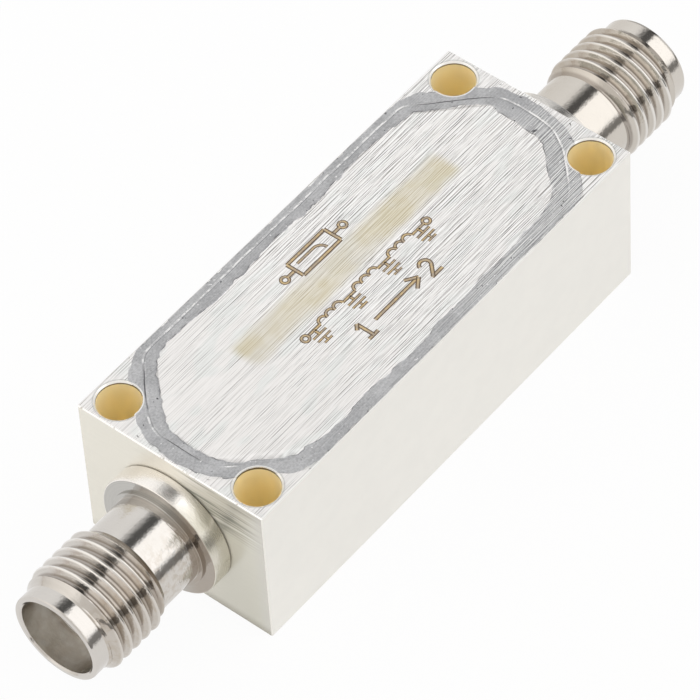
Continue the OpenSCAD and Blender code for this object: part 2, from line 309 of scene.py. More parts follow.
# Places along the axis, in metres, between which a reflection goes from the far tone to white
FLOOR_TURNS_WHITE = (-0.110, -0.020)


def floor_finish():
    material = bpy.data.materials.new("floor_white")
    material.use_nodes = True
    tree = material.node_tree
    tree.nodes.remove(tree.nodes["Principled BSDF"])
    wire = Wire(tree)
    lit = wire.node("BsdfDiffuse", (), {"Color": FLOOR_CARD})
    x = wire.node("TexCoord", out=OBJECT_PLACE).parts()[0]
    is_camera, is_glossy, is_transmission = [
        wire.node("LightPath", out=ray) for ray in (CAMERA_RAY, GLOSSY_RAY, TRANSMISSION_RAY)]
    white = (x.ramp(*FLOOR_TURNS_WHITE) + is_camera).capped()
    own = wire.node("Emission", (), {"Color": white.mix(FLOOR_FAR_TONE, FLOOR_WHITE),
                                     "Strength": 1.0})
    share = is_camera * FLOOR_OWN_WHITE + (is_glossy + is_transmission) * FLOOR_REFLECTED_WHITE
    both = wire.node("MixShader", (), {0: share, 1: lit, 2: own})
    tree.links.new(both.socket, tree.nodes["Material Output"].inputs["Surface"])
    return material


floor_white = floor_finish()
print("floor nodes:", len(floor_white.node_tree.nodes))

# %% Lay the floor and stand the flag
FLOOR_SIZE = 6.0
FLAG_PLACE = Vector((20, -45, 6.75)) * MM
FLAG_LENGTH = 260 * MM
FLAG_HEIGHT = 13.5 * MM
FLAG_GREY = (0.3, 0.3, 0.3, 1)


def as_object(bm, name, material):
    """Turns a bmesh into an object that wears one material."""
    mesh = bpy.data.meshes.new(name)
    bm.to_mesh(mesh)
    bm.free()
    mesh.materials.append(material)
    made = bpy.data.objects.new(name, mesh)
    scene.collection.objects.link(made)
    print(name, "faces:", len(mesh.polygons))
    return made


def stage_card(name, material, matrix):
    """A flat unit square, placed by a matrix."""
    bm = bmesh.new()
    bmesh.ops.create_grid(bm, x_segments=1, y_segments=1, size=0.5, matrix=matrix)
    card = as_object(bm, name, material)
    return card


stage_card("floor", floor_white, Matrix.Scale(FLOOR_SIZE, 4))
flag_black = new_finish("flag_black", {"Base Color": FLAG_GREY, "Roughness": 1.0})[0]
flag_turn = Matrix.Translation(FLAG_PLACE) @ Matrix.Rotation(math.radians(90), 4, "X")
flag_size = Matrix.Diagonal((FLAG_LENGTH, FLAG_HEIGHT, 1, 1))
flag = stage_card("flag", flag_black, flag_turn @ flag_size)
flag.visible_camera = False

# %% [markdown]
# From a bmesh to a piece
#
# Each new piece is modelled in millimetres, because that is how a machinist would read
# it. One helper merges doubles, turns the faces outwards, marks the sharp edges, scales
# to metres, hangs the piece under the root and hides the CAD nodes that it replaces.

# %% The helper that finishes a piece
SHARP = math.radians(32)


def make_piece(bm, name, material, slot, *replaced, sharp=SHARP):
    bmesh.ops.remove_doubles(bm, verts=bm.verts, dist=1e-5)
    bmesh.ops.recalc_face_normals(bm, faces=bm.faces)
    for face in bm.faces:
        face.smooth = True
    for edge in bm.edges:
        edge.smooth = edge.calc_face_angle(0) < sharp
    bmesh.ops.scale(bm, verts=bm.verts, vec=(MM, MM, MM))
    piece = as_object(bm, name, material)
    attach(piece, "root")
    if replaced:
        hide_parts(*replaced)


def assign(name, material):
    """Gives a CAD node its finish."""
    mesh = nodes[name].data
    for k in range(len(mesh.materials)):
        mesh.materials[k] = material
    print(name, "wears", material.name)


print("edges are sharp from", round(math.degrees(SHARP)), "degrees")


# %% Sizes of the block
def highest_corner(node):
    """A CAD node's highest corner in millimetres."""
    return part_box(node)[1] / MM


BLOCK_HALF_L, BLOCK_HALF_W, BLOCK_TOP = highest_corner("housing")
COVER_TOP = highest_corner("cover").z
# The height of the ports' axis, and the fixing holes' places, radius and broken edge, in mm
PORT_AXIS_Z = 4.85
HOLE_X = 13.5
HOLE_Y = 4.5
HOLE_R = 1.2
HOLE_BREAK = 0.1
print("block:", 2 * BLOCK_HALF_L, 2 * BLOCK_HALF_W, BLOCK_TOP)

# %% [markdown]
# Silver plate, brushed on top
#
# The block and its cover are plated with silver. The top was dressed flush after
# soldering, by strokes along the block, so it carries thousands of fine parallel
# scratches, which are deeper towards port 2. The sides were left satin. A picture of
# scratches would need an image, so the scratches are noise stretched along the block in
# two sizes. The slope of that noise tells the two sides of a scratch apart: one side gets
# a painted shade, and the other a painted highlight, which towards port 2 also glows a
# little as painted light.

# %% Strokes along the block
SILVER_TOP = (0.975, 0.955, 0.94)
SILVER_COOL = (0.91, 0.925, 0.91)
# Painted shade on one side of each stroke, and a painted highlight on the other
SILVER_PAINTED_SHADE = (0.17, 0.16, 0.155)
SILVER_PAINTED_HIGHLIGHT = (1.0, 1.0, 1.0)
# A painted glow on the strokes' highlighted sides
GLINT_PAINTED_GLOW = (0.085, 0.085, 0.083)
NO_LIGHT = (0, 0, 0)
# Each size of stroke: how often it repeats along and across, in 1 / mm, and its turn in degrees
STROKE_SIZES = ((0.26, 13.5, 0.3), (0.45, 17.0, -0.6))
# Half a stroke's width, as a step in its noise
STROKE_STEP = (0, 0.5, 0)
# Between these places along the block the strokes grow from the first depth to the second
STROKES_GROW = (-9.5, 1.0)
STROKE_DEPTH = (0.62, 1.80)
# Places along the block between which that painted glow fades in, in mm
GLINTS_START = (-8.0, -3.0)


def stroke_slope(place, along, across, turn):
    """The slope across the strokes of one size."""
    turned = place.node("VectorRotate", {"rotation_type": "Z_AXIS"},
                        {"Vector": place, "Angle": math.radians(turn)})
    strokes = turned.stretched(along, across, 1)
    beside = strokes.node("VectorMath", {"operation": "ADD"}, {0: strokes, 1: STROKE_STEP})
    return strokes.noise(1.0, 1.5, 0.6) - beside.noise(1.0, 1.5, 0.6)


def brushed(place):
    """The painted shade side and the painted highlight side of all strokes, each from 0 to 1."""
    patches = place.stretched(0.18, 0.8, 1).noise(1.0, 2.0, 0.6).ramp(0.36, 0.62, 0.50, 1.0)
    depth = patches * place.parts()[0].ramp(*STROKES_GROW, *STROKE_DEPTH)
    coarse, fine = [stroke_slope(place, *size) for size in STROKE_SIZES]
    dark = coarse.ramp(0.055, 0.20) + fine.ramp(0.06, 0.22) * 0.9
    bright = coarse.ramp(-0.04, -0.16) + fine.ramp(-0.04, -0.18) * 0.9
    return [(side * depth).capped() for side in (dark, bright)]


def silver_colour(place, dark, bright):
    """The plating's colour, a little cooler in places, with painted shade and painted highlights
    on its strokes.
    """
    cool = place.stretched(0.5, 1.1, 1).noise(1.0, 1.0, 0.5).ramp(0.52, 0.66)
    return coats(cool.mix(SILVER_TOP, SILVER_COOL),
                 (dark * 0.82, SILVER_PAINTED_SHADE),
                 (bright * 0.95, SILVER_PAINTED_HIGHLIGHT))


def painted_glint_glow(place, bright):
    """A painted glow on the strokes' bright sides, beyond what the room gives them."""
    return (bright * place.parts()[0].ramp(*GLINTS_START)).mix(NO_LIGHT, GLINT_PAINTED_GLOW)


print("stroke sizes:", len(STROKE_SIZES))

# %% [markdown]
# The block's ends and bores
#
# An end face was cut across by a milling tool, which left fine lines. Under its top edge,
# dark streaks along those lines are a painted reflection and white ones a painted
# highlight, and painted shade darkens the face low down, towards the near side and at its
# foot. The four bores weren't brushed and show dull gold, with a painted shade at the lip
# where the broken edge of the hole begins. Separate materials on separate faces would be
# one way, but a CAD mesh is left alone, so the one material asks each point where it lies.

# %% Colours of the ends and the bores
SILVER_END = (0.89, 0.866, 0.785)
END_LINE = (0.74, 0.73, 0.66)
# Painted shade on the end faces, and a deeper one at their foot and in breaks of their top
# edge's painted highlight
END_PAINTED_SHADE = (0.63, 0.62, 0.54)
END_PAINTED_DARK = (0.42, 0.40, 0.34)
# A painted dark reflection in streaks on the end faces, also painted shade round the holes
DARK_REFLECTION_AND_SHADE = (0.26, 0.28, 0.25)
# Painted shade on the block's broken edges and beside the end faces' near edge
EDGE_PAINTED_SHADE = (0.72, 0.71, 0.68)
# A painted highlight on broken edges, in streaks and round the holes
PAINTED_HIGHLIGHT_WHITE = (0.98, 0.975, 0.96)
BORE_GOLD = (1.0, 0.93, 0.70)
# Painted shade at the bores' lip
BORE_LIP_PAINTED_SHADE = (0.30, 0.23, 0.12)
# Depths in a bore where the lip's painted shade has ended and where it is still full, in mm
LIP_DEPTH = (0.20, 0.14)


def hypotenuse(a, b):
    """The length of the longest side over two sides at a right angle."""
    squared = a * a + b * b
    return squared.math("SQRT", squared)


def distance_from_hole(x, y):
    """How far a point is from the axis of the nearest fixing hole."""
    return hypotenuse(abs(x) - HOLE_X, abs(y) - HOLE_Y)


def bore_colour(depth):
    """Gold, with a painted shade at the lip near the top."""
    return depth.ramp(*LIP_DEPTH).mix(BORE_GOLD, BORE_LIP_PAINTED_SHADE)


def end_colour(place):
    """The end faces: lines of the milling tool, painted shade low down, towards the near side
    and at the foot, and painted reflection and highlight streaks under the top edge.
    """
    y, z = place.parts()[1:]
    lines = place.stretched(1, 0.25, 16).noise(1.0, 2.0, 0.6).ramp(0.35, 0.7)
    # Painted shade, deeper low down and towards the near side
    low_painted_shade = y.ramp(0.5, -5.5) * z.ramp(11, -1, 0.45, 1.0)
    reflection_streaks = place.stretched(1, 0.16, 6.5).noise(1.0, 2.5, 0.7)
    near_top = y.ramp(0.2, -1.8) * z.ramp(5.8, 8.0) * y.ramp(-6.2, -3.2, 0.35, 1.0)
    # Painted shade along the foot, more towards the near side
    foot = z.ramp(0.8, 0.05) * y.ramp(0.0, -3.0, 0.35, 1.0)
    end = coats(SILVER_END,
                (lines * 0.25, END_LINE),
                (low_painted_shade * 0.75, END_PAINTED_SHADE),
                # Under the top edge beside the flange: painted reflection streaks, dark, and
                # painted highlight streaks, white
                (near_top * reflection_streaks.ramp(0.50, 0.60) * 0.8, DARK_REFLECTION_AND_SHADE),
                (near_top * reflection_streaks.ramp(0.45, 0.38) * 0.85, PAINTED_HIGHLIGHT_WHITE),
                # Painted shade by the end face's near edge
                (y.ramp(-5.0, -5.9) * 0.55, EDGE_PAINTED_SHADE),
                (foot * 0.75, END_PAINTED_DARK))
    return end, lines


print("holes:", 2 * HOLE_X, "by", 2 * HOLE_Y, "mm apart,", 2 * HOLE_R, "mm wide")

# %% The block's finish
SATIN_METALLIC = 0.45
TOP_ROUGHNESS = 0.20
SIDE_ROUGHNESS = 0.30
END_ROUGHNESS = 0.23
BORE_ROUGHNESS = 0.95
SILVER_SIDE = (0.94, 0.923, 0.876)
SIDE_CLOUD = (0.80, 0.79, 0.76)
BORE_FILL = (0.036, 0.030, 0.013)
# Depths in a bore between which a faint glow sets in, for light that would bounce there, in mm
FILL_DEPTH = (0.4, 2.2)
# A painted glow on the end edges' painted highlight
BREAK_PAINTED_GLOW = (0.07, 0.07, 0.08)
# How far from a face, from an edge and from a bore's wall a point counts as on it, in mm
FACE_SKIN = 0.01
EDGE_BREAK = 0.078
BORE_SKIN = 0.006
HOLE_EDGE = HOLE_R + HOLE_BREAK
SILVER_RELIEF = 1.2e-6


def plated_block():
    """Brushed on top, satin on the sides, cut across on the ends, gold in the bores, with
    painted highlights and painted shade on the edges and round the holes.
    """
    material, shader, place = new_finish("plated_block", {"Emission Strength": 1.0})
    x, y, z = place.parts()
    depth = BLOCK_TOP - z
    from_hole = distance_from_hole(x, y)
    in_bore = from_hole < HOLE_R + BORE_SKIN
    on_top = depth < FACE_SKIN
    on_end = abs(x) > BLOCK_HALF_L - FACE_SKIN
    hole_break = (from_hole < HOLE_EDGE + BORE_SKIN) * (depth < HOLE_BREAK + BORE_SKIN)
    side_break = (depth < EDGE_BREAK) * (abs(y) > BLOCK_HALF_W - EDGE_BREAK)
    end_break = (depth < EDGE_BREAK) * (abs(x) > BLOCK_HALF_L - EDGE_BREAK)
    dark, bright = brushed(place)
    mottle = place.noise(0.9, 3.0, 0.6).ramp(0.3, 0.7)
    # Breaks in the end edges' painted highlight, where they show darker
    highlight_breaks = place.stretched(0.5, 2.6, 0.5).noise(1.0, 2.0, 0.7).ramp(0.60, 0.66)
    # Painted shade in a ring round each hole's broken edge
    hole_rim_painted_shade = from_hole.ramp(HOLE_EDGE + 0.10, HOLE_EDGE + 0.04)
    end, lines = end_colour(place)
    feed(shader, "Base Color", coats(
        SILVER_SIDE,
        (mottle * 0.12, SIDE_CLOUD),
        # Painted shade on the long sides' broken edges
        (side_break, EDGE_PAINTED_SHADE),
        (on_end, end),
        # A painted highlight on the end edges, with darker breaks
        (end_break, (highlight_breaks * 0.75).mix(PAINTED_HIGHLIGHT_WHITE, END_PAINTED_DARK)),
        # The plating on top, with painted shade round each hole
        (on_top, (hole_rim_painted_shade * 0.4).mix(silver_colour(place, dark, bright), DARK_REFLECTION_AND_SHADE)),
        # A painted highlight on each hole's broken edge
        (hole_break, PAINTED_HIGHLIGHT_WHITE),
        (in_bore, bore_colour(depth))))
    feed(shader, "Emission Color", coats(
        NO_LIGHT,
        (in_bore * depth.ramp(*FILL_DEPTH), BORE_FILL),
        (on_top, painted_glint_glow(place, bright)),
        (end_break, BREAK_PAINTED_GLOW)))
    feed(shader, "Metallic", levels(SATIN_METALLIC, (in_bore, 1.0)))
    feed(shader, "Roughness", levels(SIDE_ROUGHNESS, (on_top, TOP_ROUGHNESS),
                                     (on_end, END_ROUGHNESS), (in_bore, BORE_ROUGHNESS)))
    bump(shader, dark * on_top + lines * on_end * 0.6, SILVER_RELIEF)
    return material


assign("housing", plated_block())

# %% [markdown]
# The cover and its pale field
#
# The cover was brushed together with the block, and a soft field along its middle has
# turned pale gold. A picture of the field would need an image, and a separate plate would
# stand proud. So the field is one more coat: two smooth steps mark its length and its
# width, low noise makes its edge wander a little, and the strokes show through it.

# %% The cover's finish
# Middle and half sizes of the field, and its soft edge in and out, in millimetres
FIELD_MIDDLE = (0.6, 1.25)
FIELD_HALF_L = 8.1
FIELD_HALF_W = 0.78
FIELD_SOFT_IN = 0.25
FIELD_SOFT_OUT = 0.45
FIELD_GOLD = (0.66, 0.58, 0.36)
FIELD_GREY = (0.73, 0.70, 0.62)


def inside_field(distance, half_size):
    """1 within half a size of the field's middle, and 0 outside its soft edge."""
    return abs(distance).ramp(half_size + FIELD_SOFT_OUT, half_size - FIELD_SOFT_IN)


def plated_cover():
    """Brushed like the block's top, with a soft pale gold field along its middle."""
    material, shader, place = new_finish("plated_cover", {
        "Metallic": SATIN_METALLIC, "Roughness": TOP_ROUGHNESS, "Emission Strength": 1.0})
    x, y = place.parts()[:2]
    dark, bright = brushed(place)
    lumps = place.stretched(0.9, 0.9, 1).noise(1.0, 1.0, 0.5)
    length = inside_field(x - FIELD_MIDDLE[0], FIELD_HALF_L)
    width = inside_field(y - FIELD_MIDDLE[1] + lumps * 0.3 - 0.15, FIELD_HALF_W)
    field = length * width * lumps.ramp(0.34, 0.60, 0.58, 0.76)
    tone = place.stretched(0.25, 0.6, 1).noise(1.0, 1.0, 0.5).ramp(0.35, 0.65, 0.1, 0.7)
    feed(shader, "Base Color", field.mix(silver_colour(place, dark, bright),
                                         tone.mix(FIELD_GOLD, FIELD_GREY)))
    feed(shader, "Emission Color", painted_glint_glow(place, bright))
    bump(shader, dark, SILVER_RELIEF)
    return material


assign("cover", plated_cover())

# %% [markdown]
# The solder seam
#
# The cover is held by a bead of solder that was filed flush, so its edges wander and the
# joint between cover and block shows as a hairline along its middle. An extruded octagon
# would look like a gasket. Here a table of stations says how wide the solder is all the
# way round. Rows of points run through the stations from the inner edge to the outer one
# and back through the channel, each rounded, roughened by noise and joined to the next.
# Bridging loops by a tool would be shorter, but it twisted the flat rows. Where the
# solder is narrower than its channel, the first rows are plated like the cover. Where the
# bead meets a fixing hole, it is cut back to the hole's wall.

# %% Solder finish
SOLDER_DARK = (0.42, 0.425, 0.44)
SOLDER_LIGHT = (0.66, 0.665, 0.68)
# The strokes on the solder: painted shade on one side, a painted highlight on the other
SOLDER_SCRATCH_PAINTED_SHADE = (0.20, 0.20, 0.21)
SOLDER_PAINTED_GLINT = (0.97, 0.97, 0.97)
SOLDER_SPECK = (0.90, 0.90, 0.91)
SOLDER_PIT = (0.10, 0.10, 0.11)
# A painted highlight along the joint
JOINT_PAINTED_HIGHLIGHT = (0.99, 0.99, 0.99)
SOLDER_METALLIC = 0.6
SOLDER_ROUGHNESS = 0.52
SOLDER_RELIEF = 2e-6
FACTOR = 2


def painted(place, name):
    """A number that a mesh carries at each of its points."""
    return place.node("Attribute", {"attribute_name": name}, (), out=FACTOR)


def solder_finish():
    """Dull grey solder with the brush strokes over it, their sides in painted shade and painted
    highlight, a painted highlight along the joint and round the holes, and plating where its
    film ends.
    """
    material, shader, place = new_finish("dressed_solder", {})
    x, y, z = place.parts()
    tone, plate = painted(place, "tone"), painted(place, "plate")
    from_hole = distance_from_hole(x, y)
    in_bore = from_hole < HOLE_R + BORE_SKIN
    dark, bright = brushed(place)
    grain = place.noise(7.5, 3.0, 0.7).ramp(0.34, 0.66)
    flow = place.noise(0.8, 2.0, 0.5).ramp(0.35, 0.65)
    speck = place.noise(5.0, 1.0, 0.5)
    chipped = place.noise(2.4, 3.0, 0.7).ramp(0.44, 0.54, 0.25, 1.0)
    scrubbed = x.ramp(-5.0, 9.5) * y.ramp(1.5, -2.5)
    feed(shader, "Base Color", coats(
        SOLDER_DARK,
        (grain * 0.6 + flow * 0.4, SOLDER_LIGHT),
        # The strokes' painted shade and painted highlight, where the solder was scrubbed
        (dark * scrubbed.ramp(0, 1, 0.14, 0.80), SOLDER_SCRATCH_PAINTED_SHADE),
        (bright * scrubbed.ramp(0, 1, 0.10, 0.90), SOLDER_PAINTED_GLINT),
        (speck.ramp(0.73, 0.77), SOLDER_SPECK),
        (speck.ramp(0.25, 0.22), SOLDER_PIT),
        # The joint's painted highlight, broken in places
        (tone.ramp(0.1, 0.8) * chipped, JOINT_PAINTED_HIGHLIGHT),
        (tone.ramp(0, -1.0), SOLDER_PIT),
        (plate.ramp(0.4, 0.6), silver_colour(place, dark, bright)),
        # A painted highlight round each hole's edge
        (from_hole.ramp(HOLE_R + 0.10, HOLE_R + 0.06), PAINTED_HIGHLIGHT_WHITE),
        (in_bore, bore_colour(BLOCK_TOP - z))))
    feed(shader, "Metallic", levels(SOLDER_METALLIC, (plate, SATIN_METALLIC), (in_bore, 1.0)))
    feed(shader, "Roughness", levels(SOLDER_ROUGHNESS, (plate, TOP_ROUGHNESS),
                                     (in_bore, BORE_ROUGHNESS)))
    bump(shader, grain * 0.5 + dark * 0.5, SOLDER_RELIEF)
    return material


dressed_solder = solder_finish()
print("solder nodes:", len(dressed_solder.node_tree.nodes))

# %% Stations round the seam
# Where the joint runs, how far the solder reaches in and out from it, and how bright the
# joint's line is: 1 a white painted highlight, -1 dark, 0 hidden. Clockwise from the far
# side's left end.
SEAM_STATIONS = [
    (-10, 5.46, 0.62, 0.46, 1), (-9.3, 5.47, 0.52, 0.46, 1), (-8, 5.47, 0.49, 0.46, 1),
    (-6.7, 5.48, 0.62, 0.45, 1), (-5.2, 5.48, 0.67, 0.45, 0.9), (-3.2, 5.48, 0.67, 0.45, 1),
    (-2.2, 5.48, 0.57, 0.45, 1), (-0.7, 5.48, 0.45, 0.45, 1), (0.8, 5.48, 0.52, 0.45, 1),
    (1.9, 5.48, 0.63, 0.45, 1), (3.3, 5.48, 0.57, 0.45, 0.9), (5, 5.48, 0.47, 0.45, 1),
    (6.2, 5.48, 0.37, 0.45, 1), (7.4, 5.48, 0.42, 0.45, 1), (8.6, 5.48, 0.52, 0.45, 1),
    (9.6, 5.48, 0.64, 0.45, 1), (10.2, 5.46, 0.66, 0.46, 1), (10.55, 5.3, 0.6, 0.6, 0.3),
    (11.1, 4.8, 0.52, 0.75, -0.6), (11.7, 4.18, 0.5, 0.8, -0.8), (12.3, 3.62, 0.46, 0.8, -1),
    (12.9, 3.05, 0.46, 0.74, -1), (13.45, 2.45, 0.48, 0.74, -0.8), (13.8, 2, 0.62, 0.74, -0.3),
    (13.97, 1.4, 0.92, 0.64, 0.9), (14.03, 0.6, 0.92, 0.72, 1), (14, -0.3, 0.95, 0.7, 1),
    (13.96, -1.1, 1.05, 0.64, 1), (13.82, -1.8, 1.02, 0.62, 1), (13.45, -2.45, 0.88, 0.72, 0.9),
    (12.9, -3.15, 0.88, 0.8, 0.8), (12.3, -3.75, 0.88, 0.8, 0.9), (11.7, -4.35, 0.88, 0.66, 0.7),
    (11.1, -4.95, 0.9, 0.72, 0), (10.6, -5.35, 0.95, 0.62, 0), (9.9, -5.47, 0.8, 0.46, 0),
    (9, -5.47, 0.66, 0.46, 0), (7.6, -5.47, 0.56, 0.46, 0), (6.4, -5.47, 0.44, 0.46, 0),
    (5.4, -5.47, 0.32, 0.46, 0), (4.6, -5.47, 0.47, 0.46, 0), (3.6, -5.47, 0.45, 0.46, 0),
    (2.6, -5.47, 0.36, 0.46, 0), (1.2, -5.47, 0.38, 0.46, 0), (-0.2, -5.47, 0.37, 0.46, 0),
    (-1.2, -5.47, 0.19, 0.46, 0), (-2.6, -5.47, 0.2, 0.46, 0), (-4, -5.47, 0.27, 0.46, 0),
    (-4.9, -5.47, 0.42, 0.46, 0), (-6.2, -5.47, 0.39, 0.46, 0), (-7.7, -5.47, 0.28, 0.46, 0),
    (-9.2, -5.47, 0.36, 0.46, 0), (-9.8, -5.47, 0.5, 0.46, 0), (-10.2, -5.47, 0.76, 0.46, 0),
    (-10.6, -5.38, 0.6, 0.52, 0), (-11.1, -4.95, 0.3, 0.78, 0), (-11.7, -4.3, 0.12, 0.8, 0),
    (-12.3, -3.7, 0.22, 0.78, 0), (-12.9, -3.1, 0.2, 0.8, 0), (-13.4, -2.55, 0.24, 0.8, 0.9),
    (-13.8, -2, 0.46, 0.74, 0.1), (-14, -1.3, 0.5, 0.75, -0.3), (-14, -0.6, 0.41, 0.75, -0.7),
    (-14, 0.2, 0.43, 0.8, -0.8), (-14, 0.9, 0.55, 0.74, -0.7), (-13.98, 1.5, 0.62, 0.72, 0.6),
    (-13.8, 2.05, 0.7, 0.7, 1), (-13.5, 2.5, 0.76, 0.66, 0.8), (-13, 3.1, 0.8, 0.7, -0.8),
    (-12.4, 3.72, 0.78, 0.7, -1), (-11.8, 4.28, 0.7, 0.72, -0.9), (-11.3, 4.75, 0.6, 0.74, -0.7),
    (-10.75, 5.22, 0.62, 0.68, 0.9), (-10.35, 5.41, 0.84, 0.52, 1)]
SEAM_STEP = 0.12


def onward(items):
    """A closed row moved on by one, so that each item's place holds the next one."""
    return items[1:] + items[:1]


def neighbours(items):
    """Each item of a closed row, between the one before it and the one after it."""
    return zip(items[-1:] + items, items, onward(items))


CUTS = [round(math.dist(here[:2], after[:2]) / SEAM_STEP)
        for here, after in zip(SEAM_STATIONS, onward(SEAM_STATIONS))]
print("seam stations:", len(SEAM_STATIONS), "points in a row:", sum(CUTS) + len(CUTS))

# %% Outlines of the channel
# Octagons |x| < a, |y| < b, |x| + |y| < c in millimetres
CHANNEL_INNER = (13.40, 5.00, 15.016)
CHANNEL_OUTER = (14.70, 5.90, 16.996)


def outward(ends):
    """The way across the seam, away from the cover's middle, between two points along it."""
    middle = (ends[0] + ends[1]) / 2
    along = ends[1] - ends[0]
    across = Vector((along.y, -along.x, 0)).normalized()
    spine = Vector((max(-10, min(10, middle.x)), 0, middle.z))
    return across if across.dot(middle - spine) > 0 else -across


def beyond(spot, outline):
    """How far a point lies outside an octagon, and the shortest way out of it."""
    half_l, half_w, corner = outline
    x_side, y_side = math.copysign(1, spot.x), math.copysign(1, spot.y)
    past_corner = (abs(spot.x) + abs(spot.y) - corner) / math.sqrt(2)
    reaches = [(abs(spot.x) - half_l, Vector((x_side, 0, 0))),
               (abs(spot.y) - half_w, Vector((0, y_side, 0))),
               (past_corner, Vector((x_side, y_side, 0)).normalized())]
    return max(reaches, key=lambda reach: reach[0])


def nearest_hole(spot):
    """A point on the nearest hole's axis, level with a spot."""
    return Vector((math.copysign(HOLE_X, spot.x), math.copysign(HOLE_Y, spot.y), spot.z))


first_joint = Vector((*SEAM_STATIONS[0][:2], COVER_TOP))
print("the joint starts", round(beyond(first_joint, CHANNEL_INNER)[0], 2), "mm into the channel")

# %% Keep the solder where it can be
LAP = 0.014
FIT = 0.003
EDGE_LIMIT_X = BLOCK_HALF_L - 0.1
EDGE_LIMIT_Y = BLOCK_HALF_W - 0.085


def settle(spot, place):
    """Keeps a point over or inside the channel, off the block's edges and out of the holes."""
    outer, out_of_outer = beyond(spot, CHANNEL_OUTER)
    inner, out_of_inner = beyond(spot, CHANNEL_INNER)
    if place == "outer":
        spot += out_of_outer * max(0, LAP - outer)
    if place == "tucked":
        spot -= out_of_inner * max(0, LAP + inner)
    if place == "sunk":
        spot -= out_of_outer * max(0, outer + FIT)
        inner, out_of_inner = beyond(spot, CHANNEL_INNER)
        spot += out_of_inner * max(0, FIT - inner)
    spot.x = max(-EDGE_LIMIT_X, min(EDGE_LIMIT_X, spot.x))
    spot.y = max(-EDGE_LIMIT_Y, min(EDGE_LIMIT_Y, spot.y))
    rim = HOLE_R + max(0, min(HOLE_BREAK, beyond(spot, CHANNEL_OUTER)[0]))
    from_axis = spot - nearest_hole(spot)
    if from_axis.length < rim:
        spot.xy = (nearest_hole(spot) + from_axis.normalized() * rim).xy


def meet_holes(points):
    """Slides the last point before each hole along the row until it lies on the hole's rim."""
    on_rim = [(spot - nearest_hole(spot)).length < HOLE_R + HOLE_BREAK / 2 for spot in points]
    for here, spot in enumerate(points):
        ends = [here - 1, (here + 1) % len(points)]
        touching = [end for end in ends if on_rim[end]]
        if on_rim[here] or len(touching) != 1:
            continue
        behind = points[ends[0] if touching[0] == ends[1] else ends[1]]
        way = spot - behind
        way.z = 0
        way.normalize()
        from_axis = spot - nearest_hole(spot)
        inside = from_axis.dot(way) ** 2 - from_axis.length_squared + HOLE_R ** 2
        if inside > 0:
            slide = -from_axis.dot(way) - math.sqrt(inside)
            spot += way * max(-SEAM_STEP, min(2 * SEAM_STEP, slide))


probe = Vector((HOLE_X - HOLE_R / 2, HOLE_Y, COVER_TOP))
settle(probe, "")
print("a point in a hole settles", round((probe - nearest_hole(probe)).length, 2), "mm out")

# %% The rows across the seam
# Each row: its place across, from -1 at the inner edge over 0 at the joint to 1 at the outer
# edge; an extra reach outwards in millimetres; its height over the cover; its own tone; and
# whether it takes its tone from the joint, is plated, ends the solder's film, covers the
# channel's edge or is sunk into the channel
SEAM_ROWS = [
    (-1, -0.03, -0.015, 0, "tucked"), (-1, -0.03, 0.003, 0, "tucked"),
    (-1, -0.01, 0.006, 0, "plate"), (-1, 0, 0.014, -0.9, ""), (-1, 0.055, 0.034, -0.3, ""),
    (-0.75, 0, 0.037, -0.1, ""), (-0.5, 0, 0.034, -0.1, ""), (-0.25, 0, 0.037, -0.08, ""),
    (0, -0.075, 0.036, -0.08, ""), (0, -0.05, 0.03, 0, "dark"), (0, -0.015, 0.028, 0, "dark"),
    (0, 0, 0.037, 0, "bright"), (0, 0.085, 0.037, 0, "bright"), (0, 0.105, 0.035, 0, ""),
    (0.35, 0, 0.034, 0, ""), (0.6, 0, 0.037, 0, ""), (0.85, 0, 0.035, 0, ""),
    (1, -0.06, 0.034, -0.25, ""), (1, -0.03, 0.032, -0.6, ""), (1, -0.014, 0.03, -0.6, "film"),
    (1, -0.004, 0.026, -0.6, "outer"), (1, 0, 0, -0.6, "outer"), (1, 0, -0.04, 0, "sunk"),
    (1, 0, -0.278, 0, "sunk"), (-1, 0, -0.278, 0, "sunk"), (-1, 0, -0.04, 0, "sunk")]
ROUNDING = 5


def row_line(across, extra, height):
    """Points through all stations in even steps, with the corners rounded."""
    corners = []
    for before, here, after in neighbours(SEAM_STATIONS):
        way = outward((Vector((*before[:2], 0)), Vector((*after[:2], 0))))
        reach = across * (here[3] if across > 0 else here[2]) + extra
        corners.append(Vector((*here[:2], COVER_TOP + height)) + way * reach)
    points = [start.lerp(end, k / (cuts + 1))
              for start, end, cuts in zip(corners, onward(corners), CUTS)
              for k in range(cuts + 1)]
    for turn in range(ROUNDING):
        points = [(before + here * 2 + after) / 4 for before, here, after in neighbours(points)]
    return points


joint_line = row_line(0, 0, 0)
around = sum((after - here).length for here, after in zip(joint_line, onward(joint_line)))
print("rows:", len(SEAM_ROWS), "mm round the joint:", round(around, 1))

# %% Roughness and tone of the solder
# Noise at the seam's edges and along its joint, as pairs of depth and wavelength in mm
EDGE_WAVES = ((0.10, 0.6), (0.07, 0.24))
JOINT_WAVES = ((0.05, 2.2), (0.02, 0.5))
# Seeds that give the edges and the joint noise of their own
EDGE_SEED = 3.0
JOINT_SEED = 40.0
SEAM_PITS = [(-11.38, -5.72), (-10.72, -5.88), (-14.42, -2.62), (4.3, 5.84), (9.5, 5.84),
             (10.85, 5.86), (11.38, 5.58), (14.2, -2.75), (13.2, -1.1)]
PIT_R = 0.075


def wander(spot, seed, waves):
    """Smooth noise at several wavelengths."""
    return sum(depth * noise.noise(Vector((spot.x / wave, spot.y / wave, seed + wave)))
               for depth, wave in waves)


